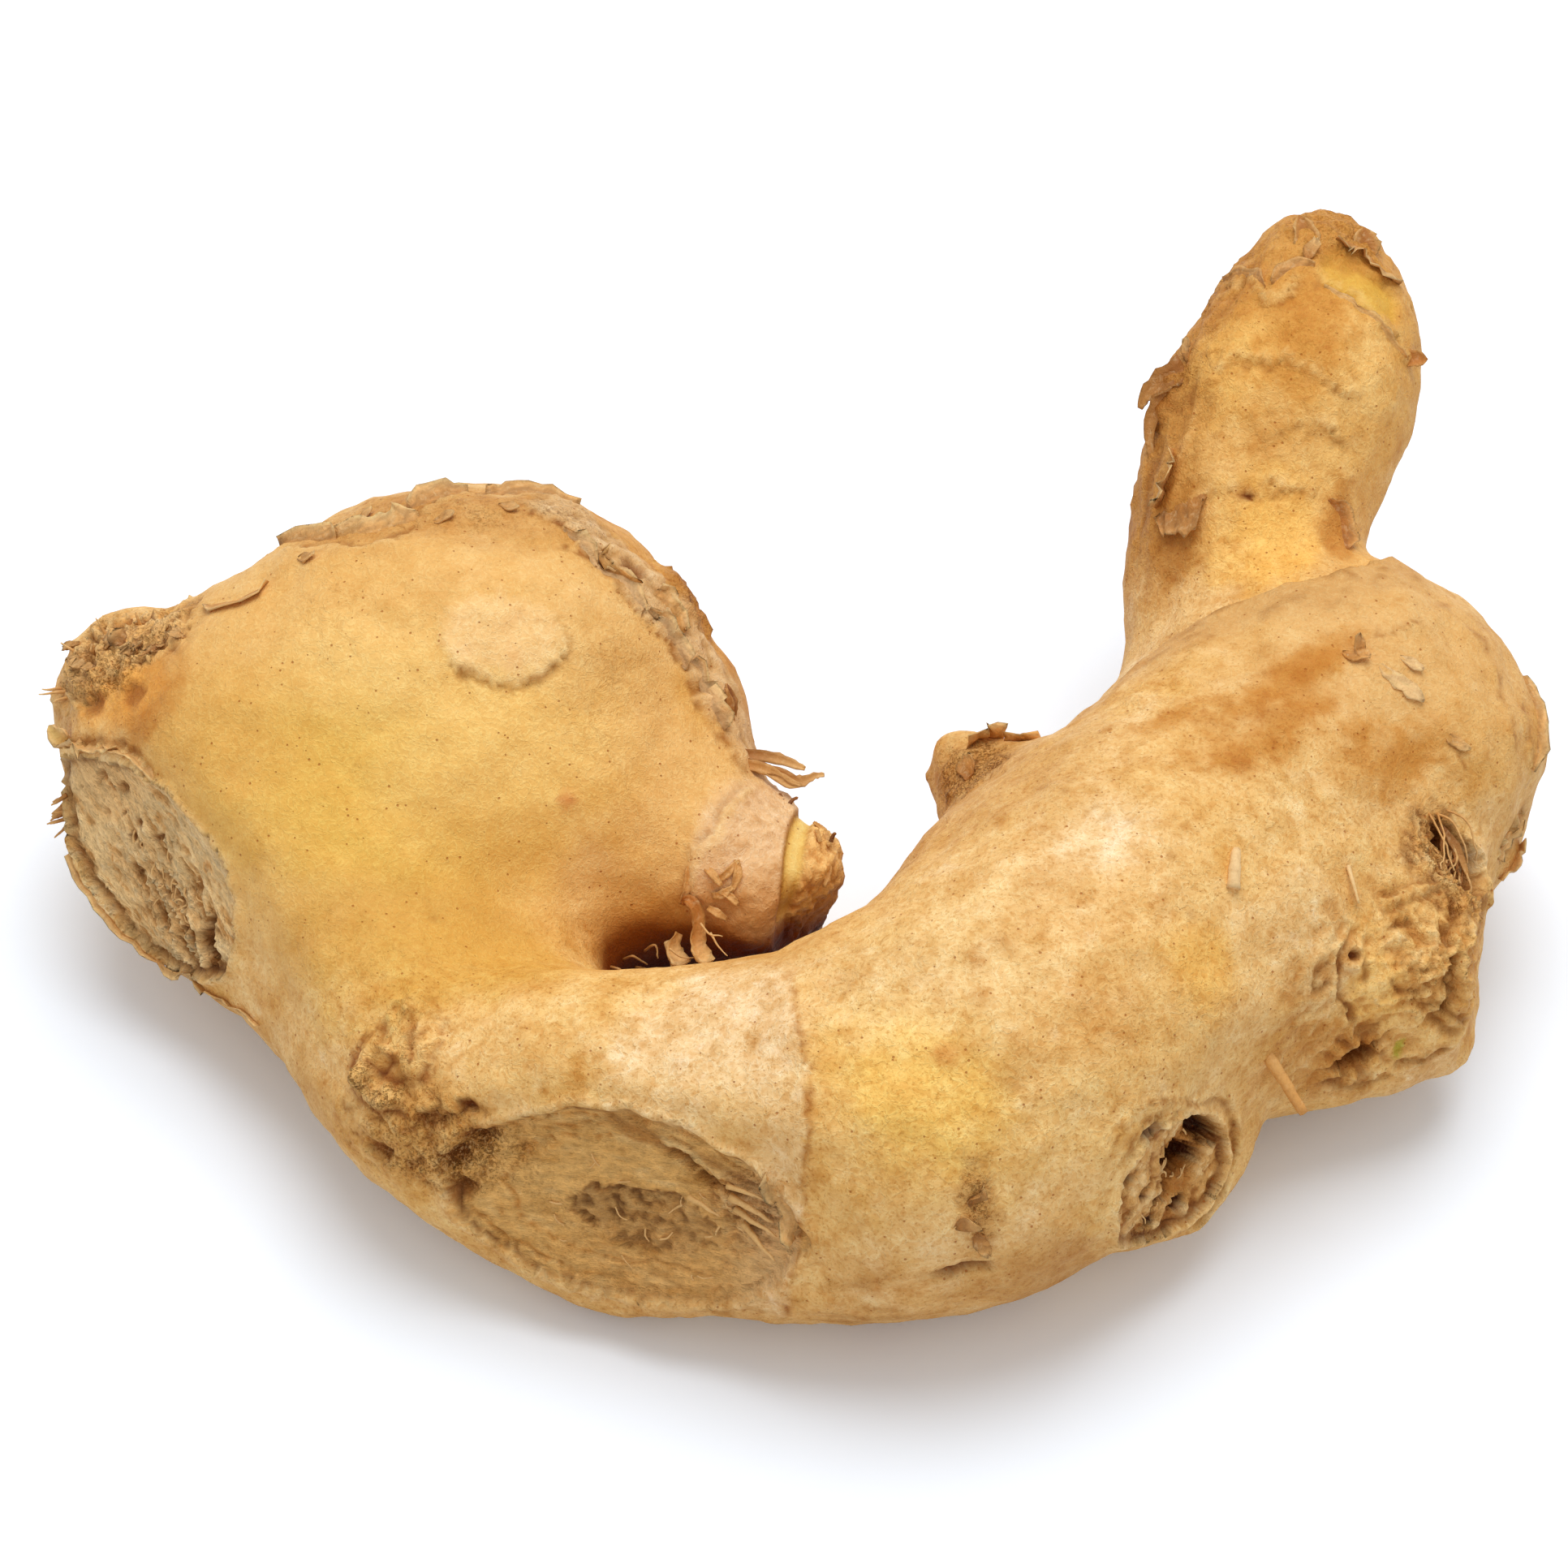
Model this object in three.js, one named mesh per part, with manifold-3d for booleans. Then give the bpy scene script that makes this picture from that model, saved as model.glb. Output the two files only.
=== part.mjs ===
// Ginger rhizome: one grown piece, lying on its underside.
// Millimetres, +Z up, X along the rhizome from the old broken end to the young knob, Y from front to back.
// The origin is at the centre of the bounding box, on the surface that the rhizome rests on.
// The flesh is an implicit surface: swollen limbs that run smoothly into each other, less the faces where
// older limbs were cut or broken away. The surface is walked on a regular grid and closed as one mesh.
import * as THREE from "three";
import { ImprovedNoise } from "three/addons/math/ImprovedNoise.js";
import { mergeVertices } from "three/addons/utils/BufferGeometryUtils.js";
import Module from "manifold-3d";

// Driving dimensions.
const CELL = 2.8; // grid step of the surface
const BLEND = 4.5; // how far two limbs run into each other
const SCAR_EDGE = 1.4; // rounding of the rim of a cut face
const LUMP_HEIGHT = 0.55; // slow unevenness of the skin
const LUMP_LENGTH = 11; // distance over which it varies
const REST_HEIGHT = 1.5; // height, among the stations below, of the surface that presses the underside flat
const STEPS_PER_SPAN = 5; // samples of a limb's curve between two stations
const SETTLE_ROUNDS = 3; // how often each vertex is moved onto the surface
const SLOPE_STEP = 0.05; // half the distance over which the field's slope is measured
const FAR = 1000; // further than any point of the rhizome

// Each limb is a row of stations [x, y, z, radius] along its axis.
const LIMBS = {
  main_arm: [
    [-32.5, -22, 15, 9.5],
    [-26.5, -29, 13.5, 10.2],
    [-17, -33, 13.5, 11.3],
    [-7.5, -35.5, 14.5, 13],
    [1.5, -36.5, 15.5, 14.5],
    [10, -35.3, 16.7, 16.3],
    [18.3, -30.4, 17.5, 17.1],
    [26, -20.7, 18, 17.7],
    [35.5, -9.5, 18, 16.5],
    [44, -1, 18, 15],
  ],
  right_lobe: [
    [40, -3, 18, 15],
    [46.8, 4.6, 19.8, 14.6],
    [50.4, 1.2, 19.1, 13.2],
  ],
  knob: [
    [39, -19, 17, 11],
    [47, -19.5, 16, 9],
    [54, -20, 15.5, 8.5],
  ],
  knob_foot: [
    [41.5, -21.5, 13, 6],
    [47, -22.5, 12, 5],
  ],
  stub: [
    [24, -28, 13, 9],
    [29, -34.2, 12.7, 6.4],
    [32, -37, 12.6, 5.8],
  ],
  finger: [
    [39, 9, 16, 10.5],
    [38.8, 14.5, 19.6, 9.8],
    [38.6, 20, 24, 9.4],
    [40.6, 26, 28, 10],
    [43.4, 32, 32, 10.8],
    [45.5, 37, 36, 8.9],
    [46.2, 41, 39, 6],
  ],
  left_lobe: [
    [-42, 1.5, 18.5, 15.6],
    [-36, 3.3, 19, 17.6],
    [-26.5, 6.5, 20, 19.3],
    [-17, 4.5, 18.5, 14],
  ],
  left_lobe_low: [
    [-36, -10, 16, 12.5],
    [-25, -3, 17, 13.5],
    [-11, -3.5, 16, 9.5],
  ],
  saddle: [
    [-36, -16, 14.5, 8],
    [-29, -18, 13.5, 8.5],
    [-22.5, -19, 12, 8],
  ],
  under_bud: [
    [-22, -6, 12, 11],
    [-9, -4.5, 9, 8],
    [-3, -6, 7.5, 6],
  ],
  bud: [
    [-8, -7, 15.5, 7.5],
    [-3, -9, 15.8, 6.6],
    [-0.2, -8.6, 16.3, 5],
  ],
  left_end: [
    [-43, 2, 18, 13],
    [-52, 5.5, 18.5, 9.5],
    [-55, 10, 20, 6.5],
  ],
  left_scar: [
    [-38, -8, 16, 12],
    [-46, -6, 15.4, 10],
    [-51.5, -5.2, 15, 8],
  ],
  front_scar: [
    [-16.5, -34.5, 14, 11.5],
    [-13.5, -39, 12.5, 10],
    [-12.5, -41, 11.5, 8],
  ],
  back_bump: [
    [19, -6, 19, 5.2],
    [15.6, 0, 19.2, 4],
  ],
};

// Faces where an older limb was cut or broken away: a point on the face, its outward direction, and the
// radius of the large ball that dishes it.
const CUTS = [
  { at: [-12, -44.3, 12.8], out: [-0.3, -0.9, 0.3], dish: 90 },
  { at: [-53.6, -9.4, 15.2], out: [-0.62, -0.68, 0.38], dish: 70 },
  { at: [55.8, -19.5, 16], out: [0.97, -0.2, 0.1], dish: 60 },
  { at: [32.8, -38, 13], out: [0.72, -0.66, 0.2], dish: 40 },
];

const noise = new ImprovedNoise();
const limbs = Object.values(LIMBS).map(sampleLimb);
const dishes = CUTS.map(({ at, out, dish }) => ({
  centre: new THREE.Vector3(...out).setLength(dish).add(new THREE.Vector3(...at)),
  radius: dish,
}));

// The smaller of two distances, rounded where they are within k of each other.
function smoothMin(a, b, k) {
  const h = Math.max(k - Math.abs(a - b), 0) / k;
  return Math.min(a, b) - (h * h * k) / 4;
}

// The larger of two distances, rounded in the same way.
function smoothMax(a, b, k) {
  return -smoothMin(-a, -b, k);
}

// A limb as a chain of balls on a smooth curve through its stations, and a ball that holds them all.
function sampleLimb(stations) {
  const points = stations.map(([x, y, z]) => new THREE.Vector3(x, y, z));
  const axis = new THREE.CatmullRomCurve3(points, false, "centripetal");
  const swell = new THREE.CatmullRomCurve3(stations.map((station, i) => new THREE.Vector3(station[3], i, 0)));
  const count = (stations.length - 1) * STEPS_PER_SPAN;
  const balls = [];
  for (let i = 0; i <= count; i++) {
    balls.push({ at: axis.getPoint(i / count), radius: swell.getPoint(i / count).x });
  }
  const centre = axis.getPoint(0.5);
  const reach = Math.max(...balls.map((ball) => ball.at.distanceTo(centre) + ball.radius));
  return { balls, centre, reach };
}

// Distance to a chain of cones with round joints.
function distanceToLimb(limb, x, y, z) {
  let nearest = FAR;
  for (let i = 1; i < limb.balls.length; i++) {
    const from = limb.balls[i - 1];
    const to = limb.balls[i];
    const [dx, dy, dz] = [to.at.x - from.at.x, to.at.y - from.at.y, to.at.z - from.at.z];
    const [px, py, pz] = [x - from.at.x, y - from.at.y, z - from.at.z];
    const along = (px * dx + py * dy + pz * dz) / (dx * dx + dy * dy + dz * dz);
    const t = Math.min(1, Math.max(0, along));
    const radius = from.radius + t * (to.radius - from.radius);
    nearest = Math.min(nearest, Math.hypot(px - t * dx, py - t * dy, pz - t * dz) - radius);
  }
  return nearest;
}

// Signed distance to the skin, negative inside the flesh.
function flesh(x, y, z) {
  let distance = FAR;
  for (const limb of limbs) {
    const { centre, reach } = limb;
    const least = Math.hypot(x - centre.x, y - centre.y, z - centre.z) - reach;
    if (least < distance + BLEND) {
      distance = smoothMin(distance, distanceToLimb(limb, x, y, z), BLEND);
    }
  }
  distance -= LUMP_HEIGHT * noise.noise(x / LUMP_LENGTH, y / LUMP_LENGTH, z / LUMP_LENGTH);
  for (const { centre, radius } of dishes) {
    const inDish = radius - Math.hypot(x - centre.x, y - centre.y, z - centre.z);
    distance = smoothMax(distance, inDish, SCAR_EDGE);
  }
  return distance;
}

// The box that holds every limb, with room for a grid cell all round.
function boxOfLimbs() {
  const box = new THREE.Box3();
  for (const { at, radius } of limbs.flatMap((limb) => limb.balls)) {
    box.union(new THREE.Sphere(at, radius).getBoundingBox(new THREE.Box3()));
  }
  return box.expandByScalar(2 * CELL);
}

// Naive surface nets: one vertex in each grid cell that the surface crosses, and one quad, as two
// triangles, for each grid edge that it crosses.
function surfaceNet(field, box) {
  const low = box.min;
  const counts = box.getSize(new THREE.Vector3()).divideScalar(CELL).ceil().addScalar(1);
  const [nx, ny, nz] = counts.toArray();
  const indexOf = (i, j, k) => i + nx * (j + ny * k);
  const values = new Float64Array(nx * ny * nz);
  for (let k = 0; k < nz; k++) {
    for (let j = 0; j < ny; j++) {
      for (let i = 0; i < nx; i++) {
        values[indexOf(i, j, k)] = field(low.x + i * CELL, low.y + j * CELL, low.z + k * CELL);
      }
    }
  }
  const inside = (i, j, k) => values[indexOf(i, j, k)] < 0;

  const vertexOf = new Map();
  const positions = [];
  for (let k = 0; k < nz - 1; k++) {
    for (let j = 0; j < ny - 1; j++) {
      for (let i = 0; i < nx - 1; i++) {
        const middle = crossingOf(values, indexOf, i, j, k);
        if (middle) {
          vertexOf.set(indexOf(i, j, k), positions.length / 3);
          positions.push(...middle.multiplyScalar(CELL).add(low));
        }
      }
    }
  }

  const pointAt = (vertex) => new THREE.Vector3().fromArray(positions, 3 * vertex);
  const faces = [];
  const addQuad = (a, b, c, d, keep) => {
    const [e, f, g, h] = keep ? [a, b, c, d] : [a, d, c, b];
    const shortEG = pointAt(e).distanceTo(pointAt(g)) < pointAt(f).distanceTo(pointAt(h));
    faces.push(...(shortEG ? [e, f, g, e, g, h] : [e, f, h, f, g, h]));
  };
  for (let k = 1; k < nz - 1; k++) {
    for (let j = 1; j < ny - 1; j++) {
      for (let i = 1; i < nx - 1; i++) {
        const here = inside(i, j, k);
        const v = (di, dj, dk) => vertexOf.get(indexOf(i - di, j - dj, k - dk));
        if (here !== inside(i + 1, j, k)) {
          addQuad(v(0, 0, 0), v(0, 1, 0), v(0, 1, 1), v(0, 0, 1), here);
        }
        if (here !== inside(i, j + 1, k)) {
          addQuad(v(0, 0, 0), v(0, 0, 1), v(1, 0, 1), v(1, 0, 0), here);
        }
        if (here !== inside(i, j, k + 1)) {
          addQuad(v(0, 0, 0), v(1, 0, 0), v(1, 1, 0), v(0, 1, 0), here);
        }
      }
    }
  }
  return { positions, faces };
}

// The mean of the points where the surface crosses one cell's twelve edges, in grid steps, or null.
function crossingOf(values, indexOf, i, j, k) {
  const sum = new THREE.Vector3();
  let crossings = 0;
  for (let corner = 0; corner < 8; corner++) {
    for (const bit of [1, 2, 4]) {
      if (corner & bit) continue;
      const start = new THREE.Vector3(i + (corner & 1), j + ((corner >> 1) & 1), k + (corner >> 2));
      const step = new THREE.Vector3(bit & 1, (bit >> 1) & 1, bit >> 2);
      const end = start.clone().add(step);
      const valueA = values[indexOf(...start)];
      const valueB = values[indexOf(...end)];
      if (valueA < 0 === valueB < 0) continue;
      sum.add(start.addScaledVector(step, valueA / (valueA - valueB)));
      crossings++;
    }
  }
  return crossings ? sum.divideScalar(crossings) : null;
}

// Moves each vertex along the field's slope until it lies on the surface.
function settle(positions, field) {
  const longest = CELL / 3;
  const flattest = 0.2;
  for (let v = 0; v < positions.length; v += 3) {
    for (let round = 0; round < SETTLE_ROUNDS; round++) {
      const [x, y, z] = positions.slice(v, v + 3);
      const slope = new THREE.Vector3(
        field(x + SLOPE_STEP, y, z) - field(x - SLOPE_STEP, y, z),
        field(x, y + SLOPE_STEP, z) - field(x, y - SLOPE_STEP, z),
        field(x, y, z + SLOPE_STEP) - field(x, y, z - SLOPE_STEP),
      ).divideScalar(2 * SLOPE_STEP);
      const wanted = -field(x, y, z) / Math.max(slope.lengthSq(), flattest);
      slope.multiplyScalar(THREE.MathUtils.clamp(wanted, -longest, longest));
      positions[v] += slope.x;
      positions[v + 1] += slope.y;
      positions[v + 2] += slope.z;
    }
  }
}

const wasm = await Module();
wasm.setup();

function solidOf(geometry) {
  const bare = geometry.clone();
  bare.deleteAttribute("normal");
  bare.deleteAttribute("uv");
  const merged = mergeVertices(bare);
  return new wasm.Manifold(
    new wasm.Mesh({
      numProp: 3,
      vertProperties: merged.attributes.position.array,
      triVerts: new Uint32Array(merged.index.array),
    }),
  );
}

function geometryOf(solid) {
  const mesh = solid.getMesh();
  const geometry = new THREE.BufferGeometry();
  geometry.setAttribute("position", new THREE.BufferAttribute(mesh.vertProperties, 3));
  geometry.setIndex(new THREE.BufferAttribute(mesh.triVerts, 1));
  return geometry;
}

// The closed skin, pressed flat where it rests, with its origin under the middle of its box.
function makeRhizome() {
  const box = boxOfLimbs();
  const net = surfaceNet(flesh, box);
  settle(net.positions, flesh);
  const skin = new THREE.BufferGeometry();
  skin.setAttribute("position", new THREE.Float32BufferAttribute(net.positions, 3));
  skin.setIndex(net.faces);

  const size = box.getSize(new THREE.Vector3());
  const floor = new THREE.BoxGeometry(2 * size.x, 2 * size.y, size.z);
  floor.translate(0, 0, REST_HEIGHT - size.z / 2);
  const rhizome = geometryOf(solidOf(skin).subtract(solidOf(floor)));

  rhizome.computeBoundingBox();
  const middle = rhizome.boundingBox.getCenter(new THREE.Vector3());
  return rhizome.translate(-middle.x, -middle.y, -REST_HEIGHT);
}

const papery = new THREE.MeshStandardMaterial({ color: 0xd8ab68, roughness: 0.7, metalness: 0 });
const rhizome = new THREE.Mesh(makeRhizome(), papery);
rhizome.name = "ginger_rhizome";

const ginger = new THREE.Group();
ginger.add(rhizome);
export default ginger;
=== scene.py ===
"""Ginger rhizome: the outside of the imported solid, dressed in skin, scars, dry scales and root fibres.

The solid gives the form. Here its facets are smoothed away, and the surface is modelled in numpy: every
lump, ring, cut face and pit lifts or lowers it along its normal and tints it. Loose scales and fibres are
pieces of their own, set on the finished surface. Lengths in this file are millimetres in the frame of the
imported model, and colours are sRGB out of 255, unless a comment says otherwise.
"""

import itertools
import math

import bmesh
import bpy
import numpy as np
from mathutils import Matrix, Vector
from mathutils.bvhtree import BVHTree


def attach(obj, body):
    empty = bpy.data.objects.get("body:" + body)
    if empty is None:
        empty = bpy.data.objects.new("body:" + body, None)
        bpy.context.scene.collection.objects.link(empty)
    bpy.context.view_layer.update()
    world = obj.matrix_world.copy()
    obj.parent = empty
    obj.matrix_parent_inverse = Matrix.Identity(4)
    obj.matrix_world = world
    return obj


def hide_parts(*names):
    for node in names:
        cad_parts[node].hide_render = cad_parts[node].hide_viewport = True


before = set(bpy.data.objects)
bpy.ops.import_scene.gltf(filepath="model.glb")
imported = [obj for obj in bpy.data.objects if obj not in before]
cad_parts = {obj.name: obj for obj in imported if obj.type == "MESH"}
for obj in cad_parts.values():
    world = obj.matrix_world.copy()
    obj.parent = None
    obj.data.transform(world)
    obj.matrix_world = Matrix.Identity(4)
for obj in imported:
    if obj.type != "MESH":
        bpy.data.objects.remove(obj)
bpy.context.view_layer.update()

NODE = "ginger_rhizome"
MM = 0.001  # metres in a millimetre

# The skin's mesh.
VOXEL = 0.9  # spacing of its points
SMOOTHING_ROUNDS = 16
SMOOTHING_STEPS = (0.6, -0.62)  # in, and back out
# Heights between which the relief sets in, so that the skin stays flat where it rests.
LOWEST = (0.2, 2.5)

GAMMA = 2.2  # of sRGB, near enough
FELT = 0.38  # how thick the felt of curled fibres is where nothing else is said
SCALE_STEPS = 6  # rows of faces from a scale's root to its free edge
ROOT_DEPTH = 0.12  # how far a scale's root is sunk in the skin
FLOOR_GAP = 0.05  # the least height of a loose piece
ODD_WAY = (0.31, 0.2, 0.93)  # a direction that no fibre runs in

# Camera, standing where the photograph was taken from.
CAMERA_AIM = Vector((-1.23, 2.36, 16.5)) * MM
CAMERA_DISTANCE = 400 * MM
CAMERA_ELEVATION = math.radians(45)
CAMERA_LENS = 110
CAMERA_SENSOR = 36


# ---------------------------------------------------------------------------------------------- noise


GRADIENTS = np.array(
    [
        (x, y, z)
        for x, y, z in itertools.product((-1, 0, 1), repeat=3)
        if abs(x) + abs(y) + abs(z) == 2
    ],
    float,
)


def lattice(cells, seed):
    """A whole number without pattern for each grid cell."""
    x, y, z = (cells[:, i].astype(np.uint32) for i in range(3))
    h = x * np.uint32(0x8DA6B343) ^ y * np.uint32(0xD8163841) ^ z * np.uint32(0xCB1AB31F)
    h ^= np.uint32((seed * 0x9E3779B1) & 0xFFFFFFFF)
    h ^= h >> np.uint32(15)
    h *= np.uint32(0x2C1B3C6D)
    h ^= h >> np.uint32(12)
    h *= np.uint32(0x297A2D39)
    h ^= h >> np.uint32(15)
    return h


def noise(places, size, seed):
    """Gradient noise, about -1 to 1, whose lumps are size across. A size of three numbers stretches it."""
    scaled = places / np.asarray(size, float)
    cells = np.floor(scaled).astype(np.int64)
    inside = scaled - cells
    ease = inside**3 * (inside * (inside * 6 - 15) + 10)
    total = np.zeros(len(places))
    for corner in itertools.product((0, 1), repeat=3):
        corner = np.array(corner)
        slope = GRADIENTS[lattice(cells + corner, seed) % np.uint32(len(GRADIENTS))]
        value = ((inside - corner) * slope).sum(axis=1)
        total += value * np.where(corner, ease, 1 - ease).prod(axis=1)
    return total * 1.3


def layered(places, size, seed, octaves=3, fade=0.5):
    """Several noises on top of each other, each half the size of the last."""
    size = np.asarray(size, float)
    total = sum(noise(places, size / 2**i, seed + i) * fade**i for i in range(octaves))
    return total / sum(fade**i for i in range(octaves))


def ridged(places, size, seed, octaves=3):
    """Noise with sharp crests, 0 to 1, such as wrinkles have."""
    size = np.asarray(size, float)
    total = 0
    for i in range(octaves):
        total = total + (1 - np.abs(noise(places, size / 2**i, seed + i))) ** 3 * 0.5**i
    return total / sum(0.5**i for i in range(octaves))


def cells_near(places, size, seed):
    """For each place, how far the nearest of the scattered points is, in units of size, and its number."""
    scaled = places / size
    home = np.floor(scaled).astype(np.int64)
    nearest = np.full(len(places), 9.0)
    number = np.zeros(len(places), np.uint32)
    for step in itertools.product((-1, 0, 1), repeat=3):
        cell = home + np.array(step)
        jitter = [lattice(cell, seed + i) / 2**32 for i in range(3)]
        gap = np.linalg.norm(cell + np.stack(jitter, axis=1) - scaled, axis=1)
        closer = gap < nearest
        nearest = np.where(closer, gap, nearest)
        number = np.where(closer, lattice(cell, seed + 3), number)
    return nearest, number / 2**32


def ramp(value, low, high):
    """0 below low, 1 above high, and a smooth slope between. Low may be the larger."""
    t = np.clip((value - low) / (high - low), 0, 1)
    return t * t * (3 - 2 * t)


def peak(value, at, width):
    """1 where the value is at, falling off smoothly on both sides: the way a line or a rim is drawn."""
    return np.exp(-(((value - at) / width) ** 2))


def span(share, first, last):
    """1 between two shares of a line's length, sloping to 0 at the line's ends."""
    return ramp(share, 0, first) * ramp(share, 1, last)


def mixed(low, high, share):
    """A colour between two."""
    return np.array(low) * (1 - share) + np.array(high) * share


# ----------------------------------------------------------------------------------- meshes and skin


def add_object(name, mesh, material):
    """Puts a mesh in the scene as a piece of the rhizome."""
    piece = bpy.data.objects.new(name, mesh)
    bpy.context.scene.collection.objects.link(piece)
    mesh.materials.clear()
    mesh.materials.append(material)
    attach(piece, "root")
    return piece


def even_mesh(node):
    """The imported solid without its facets, as an even net of small faces."""
    bm = bmesh.new()
    bm.from_mesh(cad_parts[node].data)
    bmesh.ops.remove_doubles(bm, verts=bm.verts, dist=1e-6)
    welded = bpy.data.meshes.new("welded")
    bm.to_mesh(welded)
    bm.free()
    carrier = bpy.data.objects.new("carrier", welded)
    bpy.context.scene.collection.objects.link(carrier)
    remesh = carrier.modifiers.new("even", "REMESH")
    remesh.mode = "VOXEL"
    remesh.voxel_size = VOXEL * MM
    shown = carrier.evaluated_get(bpy.context.evaluated_depsgraph_get())
    mesh = bpy.data.meshes.new_from_object(shown)
    bpy.data.objects.remove(carrier)
    bpy.data.meshes.remove(welded)
    return mesh


def places_of(mesh):
    places = np.empty(len(mesh.vertices) * 3)
    mesh.vertices.foreach_get("co", places)
    return places.reshape(-1, 3) / MM


def set_places(mesh, places):
    mesh.vertices.foreach_set("co", (places * MM).ravel())
    mesh.update()


def normals_of(mesh):
    normals = np.empty(len(mesh.vertices) * 3)
    mesh.vertices.foreach_get("normal", normals)
    return normals.reshape(-1, 3)


def edges_of(mesh):
    edges = np.empty(len(mesh.edges) * 2, np.int64)
    mesh.edges.foreach_get("vertices", edges)
    return edges.reshape(-1, 2)


def neighbour_mean(values, edges):
    """The mean over each point's neighbours."""
    count = len(values)
    ends = np.concatenate([edges[:, 0], edges[:, 1]])
    others = np.concatenate([edges[:, 1], edges[:, 0]])
    degree = np.bincount(ends, minlength=count)
    sums = [np.bincount(ends, values[others, i], count) for i in range(values.shape[1])]
    return np.stack(sums, axis=1) / degree[:, None]


def smooth(mesh, rounds):
    """Takes out the facets. Every second step pushes back out, so that the form doesn't shrink."""
    places = places_of(mesh)
    edges = edges_of(mesh)
    for _ in range(rounds):
        for step in SMOOTHING_STEPS:
            places = places + step * (neighbour_mean(places, edges) - places)
    set_places(mesh, places)


def refine(mesh, regions, longest):
    """Halves the edges longer than this inside these balls, each a centre and a reach."""
    places = places_of(mesh)
    wanted = np.zeros(len(places), bool)
    for centre, reach in regions:
        wanted |= np.linalg.norm(places - np.array(centre), axis=1) < reach
    bm = bmesh.new()
    bm.from_mesh(mesh)
    bmesh.ops.triangulate(bm, faces=bm.faces)
    halved = [
        edge
        for edge in bm.edges
        if all(wanted[end.index] for end in edge.verts) and edge.calc_length() > longest * MM
    ]
    bmesh.ops.subdivide_edges(bm, edges=halved, cuts=1, use_grid_fill=True)
    bmesh.ops.triangulate(bm, faces=bm.faces)
    bm.to_mesh(mesh)
    bm.free()
    mesh.update()


# Where the relief is fine: the centre and reach of each region, and the longest edge it may keep.
FINE_REGIONS = [
    ((-13, -41, 13), 18),
    ((-33, -31, 18), 8),
    ((-52, -8, 15), 15),
    ((-57, 10, 25), 10),
    ((29, -38, 15), 11),
    ((48, -20, 18), 15),
    ((55, -6, 20), 9),
    ((-3, -9, 17), 10),
    ((44, 36, 40), 13),
    ((36, 20, 31), 10),
    ((-14, 12, 32), 13),
    ((-24, 1, 35), 7),
    ((15, 0, 22), 7),
    ((47, 0, 31), 6),
    ((-36, 12, 35), 10),
    ((0, -36, 28), 7),
    ((0, -44, 23), 7),
]
FINE_EDGE = 0.7
FINEST_REGIONS = [
    ((30, -37, 14.5), 7),
    ((-7, -43, 17), 6),
    ((47.5, -23, 18), 9),
    ((53, -12, 21), 6),
    ((-3, -20, 15), 5),
    ((-2, -9, 18), 7),
    ((-53, -8, 15), 10),
    ((-12, -42, 12.5), 6),
]
FINEST_EDGE = 0.36


# --------------------------------------------------------------------------------- laying on features


def unit(vector):
    vector = np.asarray(vector, float)
    return vector / np.linalg.norm(vector)


def turned(along):
    """Axes, as columns, whose first runs along a direction."""
    first = unit(along)
    second = unit(np.cross(first, (0, 0.3, 1)))
    return np.stack([first, second, np.cross(first, second)], axis=1)


def through(points, steps=6):
    """A smooth curve through given points."""
    points = np.array(points, float)
    if len(points) < 3:
        return points
    padded = np.concatenate([[2 * points[0] - points[1]], points, [2 * points[-1] - points[-2]]])
    curve = []
    for a, b, c, d in zip(padded, padded[1:], padded[2:], padded[3:]):
        for t in np.arange(steps) / steps:
            square = (2 * a - 5 * b + 4 * c - d) * t**2
            cube = (3 * b - a - 3 * c + d) * t**3
            curve.append(0.5 * (2 * b + (c - a) * t + square + cube))
    return np.array(curve + [points[-1]])


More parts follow.
